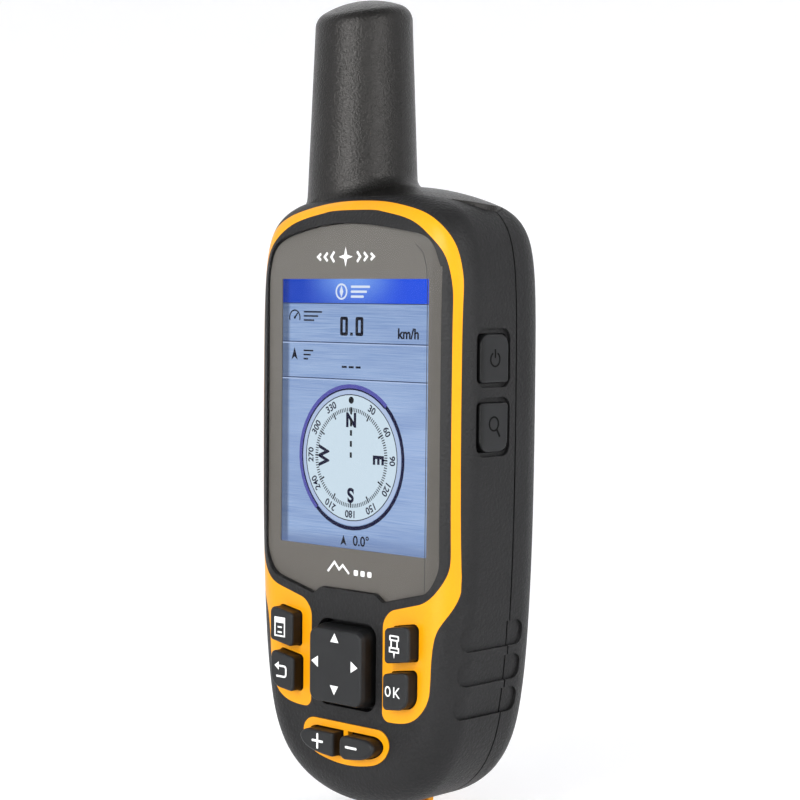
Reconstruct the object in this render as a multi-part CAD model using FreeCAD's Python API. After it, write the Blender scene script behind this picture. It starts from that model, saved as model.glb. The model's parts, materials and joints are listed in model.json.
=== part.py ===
import FreeCAD, Part

import math
import os

# A handheld satellite navigator, drawn in millimetres as an assembly of separate pieces.
# It is drawn about the centre of its display: X runs to the right as the user sees it, Y from
# the front to the back, Z up towards the antenna. place() then moves every piece so that the
# origin is at the bottom centre of the whole unit.

V = FreeCAD.Vector
X_AXIS = V(1, 0, 0)
Y_AXIS = V(0, 1, 0)
Z_AXIS = V(0, 0, 1)

# ---- driving dimensions -------------------------------------------------------------------
FRONT_Y = -0.9            # flat front face of the casing
REAR_Y = 30.0             # flat back face of the casing
SEAM_Y = 17.5             # where the front and rear casings meet
SEAM_GAP = 0.4
FRONT_ROUND = 7.75        # edge radius round the front face
REAR_ROUND = 9.5          # edge radius round the back face
WALL = 2.2
CEILING_Z = 39.5          # top of the hollow inside the casing
UNIT_CENTRE_Y = 13.95     # half way between the rocker's face and the rail's face
UNIT_BOTTOM_Z = -89.4     # lowest point of the lanyard lug

# right half of the casing's outline, from the top centre round to the bottom centre (x, z)
CASING_HALF = [
    (0, 47.2), (14, 46.5), (21, 45.0), (25.4, 42.6), (28.0, 39.3), (29.6, 34.5),
    (30.5, 26.5), (30.8, 12), (30.8, -6), (30.55, -25), (29.8, -43), (27.9, -61),
    (25.4, -70.2), (20.8, -77.2), (12, -82.6), (0, -84.5),
]

LENS_FRONT_Y = -1.0
LENS_BACK_Y = 0.2
MASK_BACK_Y = 0.45
MASK_GAP = 0.02           # thickness of the glue between the lens and its printed border
WINDOW_X = 21.6           # half width of the clear window, a 2.8 inch display
WINDOW_Z = 28.8           # half height of the clear window
LCD_GASKET_T = 0.4
FIT_GAP = 0.15            # side clearance of pieces set into the casing
INLAY = 1.4               # thickness of the coloured trim pieces
ACCENT_BACK_Y = 2.75

KEY_FACE_Y = -3.9         # front faces of the four corner keys
ZOOM_FACE_Y = -4.2        # front faces of the two zoom keys
ZOOM_BAND = 1.55          # width of the trim round the zoom keys
KEY_TRAVEL = 0.8
KEY_LIP_Y = 1.45          # front of the lip that keeps a key in the casing
KEY_BACK_Y = 2.4
MAT_FRONT_Y = KEY_BACK_Y + KEY_TRAVEL + 0.2
MAT_BACK_Y = 4.2
BOARD_FRONT_Y = 6.4
BOARD_BACK_Y = 7.6

ROCKER_Z = -53.5
ROCKER_FACE_Y = -4.5
ROCKER_PIVOT_Y = 2.4
BALL_R = 1.6

ANTENNA_X = -11.8
ANTENNA_Y = 15.25
ANTENNA_TOP_Z = 90.3
ANTENNA_BASE_R = 12.15    # radius at ANTENNA_BASE_Z
ANTENNA_BASE_Z = 49.0
ANTENNA_TAPER = 0.0403    # loss of radius per mm of height
SADDLE_TOP_Z = 49.0
FLARE_R = 4.3             # concave sweep between the stub and its foot
SEAL_LOW_Z = 40.0
SEAL_HIGH_Z = 41.6

CELL_R = 7.25             # AA cell
CELL_X = 7.6
CELL_Y = 20.2
CELL_BODY = 49.5
CELL_NUB = 1.0
BAY_LOW_Z = -60.5         # battery bay between its two end walls
BAY_HIGH_Z = -5.1
CONTACT_T = 0.4

DOOR_X = 19.8             # half width of the battery door
DOOR_LOW_Z = -73.5
DOOR_HIGH_Z = -0.8
DOOR_BACK_Y = 28.0        # inner face of the door
LATCH_Z = -68.6
RING_R = 9.0
RING_WIRE_R = 0.8
RING_Y = 30.9

RAIL_LOW_Z = 2.5
RAIL_HIGH_Z = 17.5
RAIL_FACE_Y = 32.4
PORT_Z = 25.5
PORT_HINGE_Z = 31.0
PORT_HINGE_Y = 29.4

LUG_X = 2.5
LUG_Y = 21.5
LUG_Z = -86.2
LUG_R = 3.2
LUG_HOLE_R = 1.6

CASE_SCREWS = [(-21.5, 36.0), (21.5, 36.0), (-16.5, -70.0), (16.5, -70.0)]
BOARD_SCREWS = [(-8.0, 35.2), (8.0, 35.2), (-22.5, -39.3), (22.5, -39.3)]
FAR = 200.0

parts = {}


# ---- drawing helpers ----------------------------------------------------------------------
def box(x0, x1, y0, y1, z0, z1):
    return Part.makeBox(x1 - x0, y1 - y0, z1 - z0, V(x0, y0, z0))


def rounded_box(x0, x1, y0, y1, z0, z1, radius, axis):
    """A box whose four edges along one axis are rounded."""
    block = box(x0, x1, y0, y1, z0, z1)
    return block.makeFillet(radius, edges_along(block, axis))


def edges_along(shape, axis):
    found = []
    for edge in shape.Edges:
        if isinstance(edge.Curve, Part.Line) and abs(edge.tangentAt(0).dot(axis)) > 0.999:
            found.append(edge)
    return found


def edges_at_y(shape, y):
    found = []
    for edge in shape.Edges:
        bounds = edge.BoundBox
        if abs(bounds.YMin - y) < 0.01 and abs(bounds.YMax - y) < 0.01:
            found.append(edge)
    return found


def cylinder_y(x, z, radius, y0, y1):
    return Part.makeCylinder(radius, y1 - y0, V(x, y0, z), Y_AXIS)


def cylinder_z(x, y, radius, z0, z1):
    return Part.makeCylinder(radius, z1 - z0, V(x, y, z0), Z_AXIS)


def cylinder_x(y, z, radius, x0, x1):
    return Part.makeCylinder(radius, x1 - x0, V(x0, y, z), X_AXIS)


def prism_y(wire, y0, y1):
    """Extrude a flat wire lying in an XZ plane from depth y0 to y1."""
    face = Part.Face(wire)
    face.translate(V(0, y0 - wire.BoundBox.YMin, 0))
    return face.extrude(V(0, y1 - y0, 0))


def polygon_y(points, y0, y1):
    corners = [V(x, 0, z) for x, z in points]
    return prism_y(Part.makePolygon(corners + corners[:1]), y0, y1)


def mirrored(shape):
    return shape.mirror(V(0, 0, 0), X_AXIS)


def both_sides(shape):
    return shape.fuse(mirrored(shape))


def fuse_all(shapes):
    return shapes[0].fuse(shapes[1:]).removeSplitter()


def spline(points, start=None, end=None):
    curve = Part.BSplineCurve()
    corners = [V(x, 0, z) for x, z in points]
    if start is None:
        curve.interpolate(corners)
    else:
        curve.interpolate(corners, InitialTangent=V(start[0], 0, start[1]),
                          FinalTangent=V(end[0], 0, end[1]))
    return curve.toShape()


def line(a, b):
    return Part.LineSegment(V(a[0], 0, a[1]), V(b[0], 0, b[1])).toShape()


def arc(a, b, c):
    return Part.Arc(V(a[0], 0, a[1]), V(b[0], 0, b[1]), V(c[0], 0, c[1])).toShape()


def arc_chain(points):
    """Arcs through each three points in turn, sharing their end points."""
    return [arc(*points[i:i + 3]) for i in range(0, len(points) - 2, 2)]


def grown(wire, grow):
    """The wire stretched about its middle, so that each side moves out by grow."""
    if grow == 0:
        return wire
    bounds = wire.BoundBox
    centre_x = (bounds.XMin + bounds.XMax) / 2
    centre_z = (bounds.ZMin + bounds.ZMax) / 2
    stretch_x = 1 + 2 * grow / bounds.XLength
    stretch_z = 1 + 2 * grow / bounds.ZLength
    matrix = FreeCAD.Matrix()
    matrix.move(V(-centre_x, 0, -centre_z))
    matrix.scale(stretch_x, 1, stretch_z)
    matrix.move(V(centre_x, 0, centre_z))
    return wire.transformGeometry(matrix)


# ---- the casing's outer form --------------------------------------------------------------
def casing_loop(inset):
    """The casing's outline seen from the front, moved inwards by inset."""
    half = CASING_HALF
    left = [(-x, z) for x, z in reversed(half) if x > 0]
    loop = Part.BSplineCurve()
    loop.interpolate([V(x, 0, z) for x, z in half + left], PeriodicFlag=True)
    if inset == 0:
        return Part.Wire(loop.toShape())
    moved = []
    for x, z in half + left:
        tangent = loop.tangent(loop.parameter(V(x, 0, z)))[0]
        inward = V(tangent.z, 0, -tangent.x)
        if inward.dot(V(x, 0, z + 20)) > 0:
            inward = inward * -1
        moved.append(V(x, 0, z) + inward * inset)
    inner = Part.BSplineCurve()
    inner.interpolate(moved, PeriodicFlag=True)
    return Part.Wire(inner.toShape())


def casing_form(inset):
    """The casing as one solid with rounded front and back edges, shrunk by inset."""
    front = FRONT_Y + inset
    back = REAR_Y - inset
    form = prism_y(casing_loop(inset), front, back)
    form = form.makeFillet(FRONT_ROUND - inset, edges_at_y(form, front))
    form = form.makeFillet(REAR_ROUND - inset, edges_at_y(form, back))
    return form.Solids[0]


OUTER = casing_form(0)
SKIN_FLOOR = casing_form(INLAY)
INNER = casing_form(WALL)


def front_half(shape, y):
    return shape.common(box(-FAR, FAR, -FAR, y, -FAR, FAR))


def rear_half(shape, y):
    return shape.common(box(-FAR, FAR, y, FAR, -FAR, FAR))


# ---- outlines on the front face -----------------------------------------------------------
def lens_loop(grow=0.0):
    """The cover lens: an arched top, straight sides and a shallow step in its bottom edge."""
    top = spline([(-25.5, 26), (-25.1, 31.3), (-23.4, 35.4), (-17.3, 38.4), (0, 40.5),
                  (17.3, 38.4), (23.4, 35.4), (25.1, 31.3), (25.5, 26)], (0, 1), (0, -1))
    corner = spline([(25.5, -29), (24.4, -33.2), (20.8, -36.4)], (0, -1), (-1, -0.25))
    edges = [top, line((25.5, 26), (25.5, -29)), corner,
             line((20.8, -36.4), (10.3, -39)), line((10.3, -39), (8, -37.5)),
             line((8, -37.5), (-8, -37.5)), line((-8, -37.5), (-10.3, -39)),
             line((-10.3, -39), (-20.8, -36.4)),
             spline([(-20.8, -36.4), (-24.4, -33.2), (-25.5, -29)], (-1, 0.25), (0, 1)),
             line((-25.5, -29), (-25.5, 26))]
    return grown(Part.Wire(Part.__sortEdges__(edges)), grow)


def accent_outline():
    """Right half of the trim that frames the display and widens round the keys."""
    outer_top = spline([(0, 45.4), (8, 45.0), (15, 43.8), (20.6, 42.1), (24.9, 39.3),
                        (27.5, 35.6), (28.8, 30.6), (29.15, 24)], (1, 0), (0, -1))
    inner_top = spline([(27.75, 24), (27.2, 29.6), (25.6, 34.2), (22.6, 37.5), (17.1, 40.9),
                        (9, 42.8), (0, 43.4)], (0, 1), (-1, 0))
    outer_low = spline([(29.15, -31), (28.9, -36), (27.4, -39.9), (25.3, -43.4),
                        (24.2, -47.6), (23.8, -52), (23.5, -56.2)], (0, -1), (-0.1, -1))
    lobe = [(23.5, -56.2), (23.2, -57.8), (22.5, -59.5), (21.5, -61.0), (20.3, -62.2),
            (18.8, -63.1), (17.0, -63.7), (15.0, -64.0), (12.6, -64.1)]
    corner_low = arc((12.6, -64.1), (11.2, -63.6), (10.6, -62.3))
    corner_high = spline([(10.6, -44.5), (11.6, -41.8), (14.0, -40.2)], (0, 1), (1, 0.25))
    inner_low = spline([(20.2, -38.6), (24.7, -35.9), (27.0, -32.2), (27.75, -27)],
                       (1, 0.25), (0, 1))
    edges = arc_chain(lobe)
    edges += [outer_top, line((29.15, 24), (29.15, -31)), outer_low,
             corner_low, line((10.6, -62.3), (10.6, -44.5)),
             corner_high, line((14.0, -40.2), (20.2, -38.6)), inner_low,
             line((27.75, -27), (27.75, 24)), inner_top, line((0, 43.4), (0, 45.4))]
    return Part.Wire(Part.__sortEdges__(edges))


def zoom_loop(inset):
    """The rounded boat shape round the two zoom keys, shrunk by inset."""
    end = [(9.4, -66.2), (10.9, -66.55), (12.0, -67.4), (12.65, -68.6), (12.6, -70.0),
           (11.9, -71.4), (10.8, -72.6), (9.2, -73.6), (7.4, -74.2)]
    other_end = [(-x, z) for x, z in reversed(end)]
    bottom = arc(end[-1], (0, -75.1), other_end[0])
    top = line(other_end[-1], end[0])
    edges = arc_chain(end) + arc_chain(other_end) + [top, bottom]
    return grown(Part.Wire(Part.__sortEdges__(edges)), -inset)


def rounded_polygon(corners, radii):
    """A closed outline with its own radius at each corner."""
    count = len(corners)
    starts = []
    middles = []
    ends = []
    for i in range(count):
        corner = V(corners[i][0], 0, corners[i][1])
        before = V(corners[i - 1][0], 0, corners[i - 1][1]) - corner
        after = V(corners[(i + 1) % count][0], 0, corners[(i + 1) % count][1]) - corner
        before.normalize()
        after.normalize()
        half_angle = before.getAngle(after) / 2
        inward = (before + after).normalize()
        reach = radii[i] / math.tan(half_angle)
        nearest = radii[i] / math.sin(half_angle) - radii[i]
        starts.append(corner + before * reach)
        middles.append(corner + inward * nearest)
        ends.append(corner + after * reach)
    edges = []
    for i in range(count):
        edges.append(Part.Arc(starts[i], middles[i], ends[i]).toShape())
        edges.append(Part.LineSegment(ends[i], starts[(i + 1) % count]).toShape())
    return Part.Wire(Part.__sortEdges__(edges))


def rounded_loop(x0, x1, z0, z1, radii):
    """A rectangle with radii for its corners: low left, low right, high right, high left."""
    return rounded_polygon([(x0, z0), (x1, z0), (x1, z1), (x0, z1)], radii)


# each corner key on the left side: low left, low right, high right and high left corners,
# then their radii
KEY_OUTLINES = {
    "upper": ([(-20.6, -50.1), (-13.7, -51.2), (-13.7, -43.8), (-20.6, -42.6)],
              (0.9, 0.9, 1.0, 1.3)),
    "lower": ([(-20.3, -60.2), (-13.3, -61.0), (-13.3, -53.4), (-20.3, -52.3)],
              (3.2, 1.0, 1.0, 1.1)),
}


def key_loop(row, grow):
    corners, radii = KEY_OUTLINES[row]
    return grown(rounded_polygon(corners, radii), grow)


# ---- the antenna cover --------------------------------------------------------------------
def antenna_radius(z):
    return ANTENNA_BASE_R - ANTENNA_TAPER * (z - ANTENNA_BASE_Z)


def saddle_loop(grow):
    """Plan outline of the cover's foot, on top of the casing."""
    points = [(-25.0, 15), (-21.5, 5.8), (-11.8, 2.95), (1, 3.6), (11, 5.2), (19.5, 9.6),
              (24.6, 17.2), (20, 24.2), (8, 27.0), (-11.8, 27.9), (-21.4, 24.2)]
    stretch_x = 1 + grow / 24.6
    stretch_y = 1 + grow / 12.4
    loop = Part.BSplineCurve()
    loop.interpolate([V(x * stretch_x, ANTENNA_Y + (y - ANTENNA_Y) * stretch_y, 0)
                      for x, y in points], PeriodicFlag=True)
    return Part.Wire(loop.toShape())


def saddle_prism(grow, z0, z1):
    face = Part.Face(saddle_loop(grow))
    face.translate(V(0, 0, z0))
    return face.extrude(V(0, 0, z1 - z0))


def above_saddle_seat():
    """Everything above the arched seat that the cover's foot rests on."""
    side_z = 40.4
    seat = arc((-30, side_z), (0, side_z + 3.2), (30, side_z))
    high = ANTENNA_TOP_Z + 10
    walls = [line((30, side_z), (30, high)), line((30, high), (-30, high)),
             line((-30, high), (-30, side_z))]
    return prism_y(Part.Wire(Part.__sortEdges__([seat] + walls)), -5, 35)


def saddle_crown():
    """A barrel, arched across the unit and from front to back, that tops the foot."""
    across_r = 68.8
    along_r = 27.1
    centre_z = SADDLE_TOP_Z - across_r
    reach = 20.0
    edge_z = SADDLE_TOP_Z - (along_r - math.sqrt(along_r ** 2 - reach ** 2))
    front = V(0, ANTENNA_Y - reach, edge_z)
    back = V(0, ANTENNA_Y + reach, edge_z)
    crown = Part.Arc(front, V(0, ANTENNA_Y, SADDLE_TOP_Z), back).toShape()
    low_front = V(0, front.y, 35)
    low_back = V(0, back.y, 35)
    outline = Part.Wire([crown, Part.LineSegment(back, low_back).toShape(),
                         Part.LineSegment(low_back, low_front).toShape(),
                         Part.LineSegment(low_front, front).toShape()])
    sweep = 50.0
    face = Part.Face(outline)
    face.rotate(V(0, 0, centre_z), Y_AXIS, -sweep / 2)
    return face.revolve(V(0, 0, centre_z), Y_AXIS, sweep)


def antenna_stub(shrink, low_z, top_drop):
    """The tapered stub with a domed top that slopes down towards the front."""
    high_z = ANTENNA_TOP_Z + 4
    stub = Part.makeCone(antenna_radius(low_z) - shrink, antenna_radius(high_z) - shrink,
                         high_z - low_z, V(ANTENNA_X, ANTENNA_Y, low_z), Z_AXIS)
    dome_r = 21.0
    dome_shift = dome_r * math.sin(math.radians(8))
    dome = Part.makeSphere(dome_r, V(ANTENNA_X, ANTENNA_Y + dome_shift,
                                     ANTENNA_TOP_Z - top_drop - dome_r))
    lower = box(-FAR, FAR, -FAR, FAR, low_z, ANTENNA_TOP_Z - 20)
    return stub.common(dome.fuse(lower)).removeSplitter()


def near_antenna(edge, low_z, high_z):
    """Whether an edge runs round the stub between two heights."""
    bounds = edge.BoundBox
    round_axis = bounds.XLength > 5 and bounds.XMin > ANTENNA_X - 14 and bounds.XMax < ANTENNA_X + 14
    return round_axis and bounds.ZMin > low_z and bounds.ZMax < high_z


def antenna_cover():
    """The stub, swept out into an arched foot, hollow for the antenna."""
    stub = antenna_stub(0, 38.0, 0)
    rim = [edge for edge in stub.Edges if near_antenna(edge, ANTENNA_TOP_Z - 8, FAR)]
    stub = stub.makeFillet(3.8, rim)
    body = saddle_crown().fuse(stub).removeSplitter()
    joint = [edge for edge in body.Edges if near_antenna(edge, 42.0, SADDLE_TOP_Z + 2)]
    body = body.makeFillet(FLARE_R, joint)
    region = saddle_prism(0, 35, SADDLE_TOP_Z + 3).fuse(
        box(-FAR, FAR, -FAR, FAR, SADDLE_TOP_Z + 3, FAR))
    cover = body.common(region).common(above_saddle_seat())
    neck = cylinder_z(ANTENNA_X, ANTENNA_Y, 9.3, 40.0, 44.4)
    cover = cover.fuse(neck).removeSplitter()
    hollow = antenna_stub(2.0, 44.4, 2.4)
    passage = cylinder_z(ANTENNA_X, ANTENNA_Y, 7.6, 39.0, 45.0)
    parts["antenna_cover"] = largest(cover.cut([hollow, passage]))


def antenna_seat_cut():
    """What the cover's foot, neck and seal take out of the casings."""
    foot = saddle_prism(FIT_GAP, 38, 60).common(above_saddle_seat())
    passage = cylinder_z(ANTENNA_X, ANTENNA_Y, 9.45, CEILING_Z - 1, 50)
    groove = cylinder_z(ANTENNA_X, ANTENNA_Y, 10.6, SEAL_LOW_Z, SEAL_HIGH_Z)
    return [foot, passage, groove]


def antenna_inside():
    seal = cylinder_z(ANTENNA_X, ANTENNA_Y, 10.6, SEAL_LOW_Z, SEAL_HIGH_Z)
    parts["antenna_seal"] = seal.cut(cylinder_z(ANTENNA_X, ANTENNA_Y, 9.3, 39, 45))
    parts["antenna_board"] = cylinder_z(ANTENNA_X, ANTENNA_Y, 9.0, 44.4, 45.6)
    core = cylinder_z(ANTENNA_X, ANTENNA_Y, 6.2, 45.6, 82.6)
    parts["antenna_core"] = core.cut(cylinder_z(ANTENNA_X, ANTENNA_Y, 4.4, 45.6, 80.6))
    parts["antenna_strips"] = Part.makeCompound([antenna_strip(i) for i in range(4)])
    parts["antenna_coax"] = coax()
    parts["coax_connector"] = cylinder_y(ANTENNA_X, 30.5, 1.5, BOARD_BACK_Y, 9.0)


def antenna_strip(index):
    """One of four copper strips wound half a turn round the core."""
    height = 34.0
    core_r = 6.22
    strip_w = 1.6
    strip_t = 0.25
    helix = Part.makeHelix(2 * height, height, core_r + strip_t / 2)
    mid = core_r + strip_t / 2
    slope = math.atan2(2 * height, 2 * math.pi * mid)
    half_w = strip_w / 2
    side = V(0, -math.sin(slope), math.cos(slope)) * half_w
    thick = X_AXIS * (strip_t / 2)
    start = V(mid, 0, 0)
    corners = [start - side - thick, start + side - thick, start + side + thick,
               start - side + thick]
    section = Part.makePolygon(corners + corners[:1])
    strip = Part.Wire(helix.Edges).makePipeShell([section], True, True)
    strip.rotate(V(0, 0, 0), Z_AXIS, 90 * index)
    strip.translate(V(ANTENNA_X, ANTENNA_Y, 47.4))
    lead = cylinder_z(ANTENNA_X, ANTENNA_Y, core_r + strip_t, 46.2, 82.0)
    lead = lead.cut(cylinder_z(ANTENNA_X, ANTENNA_Y, core_r, 46.2, 82.0))
    solid = strip.common(lead).Solids[0]
    if solid.Volume < 0:
        solid.reverse()
    return solid


def coax():
    """The antenna lead, from the antenna board down and forward to the main board."""
    bend = 5.0
    turn_z = 30.5 + bend
    top = V(ANTENNA_X, ANTENNA_Y, 44.4)
    turn = V(ANTENNA_X, ANTENNA_Y, turn_z)
    slack = bend * (1 - math.sqrt(0.5))
    middle = V(ANTENNA_X, ANTENNA_Y - slack, 30.5 + slack)
    end = V(ANTENNA_X, ANTENNA_Y - bend, 30.5)
    plug = V(ANTENNA_X, 9.0, 30.5)
    path = Part.Wire([Part.LineSegment(top, turn).toShape(),
                      Part.Arc(turn, middle, end).toShape(),
                      Part.LineSegment(end, plug).toShape()])
    section = Part.Wire(Part.makeCircle(0.6, top, Z_AXIS))
    return path.makePipeShell([section], True, False)


# ---- trim pieces --------------------------------------------------------------------------
def front_accent_prism(y0, y1):
    return both_sides(prism_y(accent_outline(), y0, y1)).removeSplitter()


def front_key_holes(clearance):
    """Through holes for the four corner keys."""
    holes = []
    for row in KEY_OUTLINES:
        hole = prism_y(key_loop(row, clearance), -10, 6)
        holes += [hole, mirrored(hole)]
    return holes


def front_accent():
    region = front_accent_prism(-5, ACCENT_BACK_Y)
    band = region.common(OUTER).cut(SKIN_FLOOR)
    parts["front_accent"] = largest(band.cut(front_key_holes(0.25)))


def largest(shape):
    return max(shape.Solids, key=lambda solid: solid.Volume)


def zoom_surround():
    ring = prism_y(zoom_loop(0), FRONT_Y - 0.1, FRONT_Y + INLAY)
    opening = prism_y(zoom_loop(ZOOM_BAND), -5, 5)
    bar = box(-0.65, 0.65, FRONT_Y, FRONT_Y + INLAY, -74.5, -67).common(
        prism_y(zoom_loop(1.0), -5, 5))
    parts["zoom_surround"] = fuse_all([ring.cut(opening), bar])


def rear_accent_region():
    """A U-shaped band low on the back edge, and the tongue that carries the lanyard lug."""
    band = prism_y(casing_loop(2.67), 20, 35).cut(prism_y(casing_loop(5.05), 19, 36))
    band = band.common(box(-FAR, FAR, 15, FAR, -FAR, 6))
    tongue = box(-LUG_X, LUG_X, 18.6, 29.5, -90, -78.8)
    return band.fuse(tongue)


def rear_accent():
    inlay = rear_accent_region().common(OUTER).cut(SKIN_FLOOR)
    lug = cylinder_x(LUG_Y, LUG_Z, LUG_R, -LUG_X, LUG_X)
    neck = box(-LUG_X, LUG_X, LUG_Y - LUG_R + 0.3, LUG_Y + LUG_R, LUG_Z, -83.6)
    hole = cylinder_x(LUG_Y, LUG_Z, LUG_HOLE_R, -10, 10)
    parts["rear_accent"] = largest(fuse_all([inlay, lug, neck]).cut(hole))


# ---- casings ------------------------------------------------------------------------------
GRIP_DEPTH = 0.6
GRIP_ROWS = [(-48.0, -42.6), (-55.3, -49.9), (-62.4, -57.0)]


def grip_cut():
    """Shallow grip pads sunk into both sides across the seam."""
    floor = casing_form(GRIP_DEPTH)
    pads = []
    for low, high in GRIP_ROWS:
        pad = rounded_box(15, 40, 3.0, 22.0, low, high, 2.3, X_AXIS)
        pads += [pad, mirrored(pad)]
    return [pad.cut(floor) for pad in pads]


def side_key_cut():
    """Recesses and holes for the two keys on the right-hand side."""
    cuts = []
    for low, high in ((6.6, 18.8), (-7.7, 4.6)):
        cuts.append(rounded_box(30.0, 40, 5.0, 15.5, low, high, 2.2, X_AXIS))
        cuts.append(rounded_box(20.0, 40, 5.85, 14.95, low + 0.85, high - 1.05, 1.0, X_AXIS))
    return cuts


def boss(x, z, radius, y0, y1):
    return cylinder_y(x, z, radius, y0, y1)


def front_casing():
    rim_y = SEAM_Y - SEAM_GAP / 2
    hollow = INNER.common(box(-FAR, FAR, -FAR, FAR, -FAR, CEILING_Z))
    shell = front_half(OUTER, rim_y).cut(hollow)
    inside_y = FRONT_Y + WALL - 0.1
    bosses = [boss(x, z, 2.6, inside_y, rim_y) for x, z in CASE_SCREWS]
    bosses += [boss(x, z, 2.0, inside_y, BOARD_FRONT_Y) for x, z in BOARD_SCREWS]
    shell = shell.fuse([piece.common(OUTER) for piece in bosses])
    cuts = [cylinder_y(x, z, 1.0, 5.0, rim_y + 1) for x, z in CASE_SCREWS]
    cuts += [cylinder_y(x, z, 0.8, 2.5, BOARD_FRONT_Y + 1) for x, z in BOARD_SCREWS]
    cuts.append(prism_y(lens_loop(FIT_GAP), -5, MASK_BACK_Y))
    cuts.append(rounded_box(-23.6, 23.6, -5, 5, -31.5, 31.1, 0.6, Y_AXIS))
    accent_groove = front_accent_prism(-5, ACCENT_BACK_Y).cut(SKIN_FLOOR)
    cuts.append(accent_groove)
    cuts += front_key_holes(0.25)
    cuts.append(box(-25.4, 25.4, FRONT_Y + WALL, 5.7, -36.5, 32.5))
    for row in KEY_OUTLINES:
        pocket = prism_y(key_loop(row, 0.65), FRONT_Y + WALL, 3)
        cuts += [pocket, mirrored(pocket)]
    cuts.append(prism_y(zoom_loop(-0.1), -5, FRONT_Y + INLAY))
    cuts.append(prism_y(zoom_loop(ZOOM_BAND), -5, 5))
    cuts.append(rounded_box(-8.7, 8.7, -5, 5, ROCKER_Z - 9.4, ROCKER_Z + 9.4, 3.0, Y_AXIS))
    cuts += side_key_cut() + grip_cut() + antenna_seat_cut()
    parts["front_housing"] = largest(shell.cut(cuts))


def rear_casing():
    rim_y = SEAM_Y + SEAM_GAP / 2
    hollow = INNER.common(box(-FAR, FAR, -FAR, FAR, -FAR, CEILING_Z))
    shell = rear_half(OUTER, rim_y).cut(hollow)
    adds = [rounded_box(-21.2, 21.2, 25.8, DOOR_BACK_Y, -74.5, 0.3, 7.0, Y_AXIS).common(OUTER)]
    adds.append(box(-9.5, 9.5, 26.4, 28.4, 19.5, 33.5))
    adds += [cylinder_y(0, z, 2.6, 22.0, 28.5) for z in RAIL_SCREW_Z]
    adds += [cylinder_y(x, z, 3.2, rim_y, 29.0).common(OUTER) for x, z in CASE_SCREWS]
    shell = shell.fuse(adds)
    cuts = []
    for x, z in CASE_SCREWS:
        cuts.append(cylinder_y(x, z, 1.25, rim_y - 1, 40))
        cuts.append(cylinder_y(x, z, 2.4, 23.0, 40))
    cuts.append(prism_y(door_loop(0.2), DOOR_BACK_Y, 35))
    cuts.append(rounded_box(-17.1, 17.1, 20, 35, BAY_LOW_Z - 1.3, BAY_HIGH_Z + 1.3, 1.5, Y_AXIS))
    cuts.append(door_seal_ring(27.5, DOOR_BACK_Y))
    cuts.append(cylinder_y(0, LATCH_Z, 3.6, 20, 35))
    cuts.append(prism_y(port_cover_loop(0.2), 28.4, 35))
    cuts.append(rounded_box(-5.2, 5.2, 20, 35, PORT_Z - 3.4, PORT_Z + 2.9, 1.0, Y_AXIS))
    cuts += [cylinder_y(0, z, 0.95, 22.0, 35) for z in RAIL_SCREW_Z]
    accent_groove = rear_accent_region().cut(SKIN_FLOOR)
    cuts.append(accent_groove)
    cuts.append(box(-LUG_X, LUG_X, LUG_Y - LUG_R, LUG_Y + LUG_R, LUG_Z, -83.0))
    cuts += grip_cut() + antenna_seat_cut()
    parts["rear_housing"] = largest(shell.cut(cuts))


def case_seal():
    """Rubber cord squeezed in the seam between the two casings."""
    y0 = SEAM_Y - SEAM_GAP / 2
    y1 = SEAM_Y + SEAM_GAP / 2
    ring = prism_y(casing_loop(0.9), y0, y1).cut(prism_y(casing_loop(WALL), y0 - 1, y1 + 1))
    ring = ring.cut([box(-FAR, FAR, y0 - 1, y1 + 1, 38.0, FAR)])
    cap = box(-25.3, 25.3, y0, y1, 39.6, 41.0).cut(
        cylinder_z(ANTENNA_X, ANTENNA_Y, 10.7, 30, 60))
    pieces = [ring] + [solid for solid in cap.Solids]
    links = [box(sign * 25.6 - 1.1, sign * 25.6 + 1.1, y0, y1, 37.6, 41.0) for sign in (-1, 1)]
    limit = OUTER.common(box(-FAR, FAR, y0, y1, -FAR, 41.0))
    return fuse_all(pieces + links).common(limit).cut(grip_cut())


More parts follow.
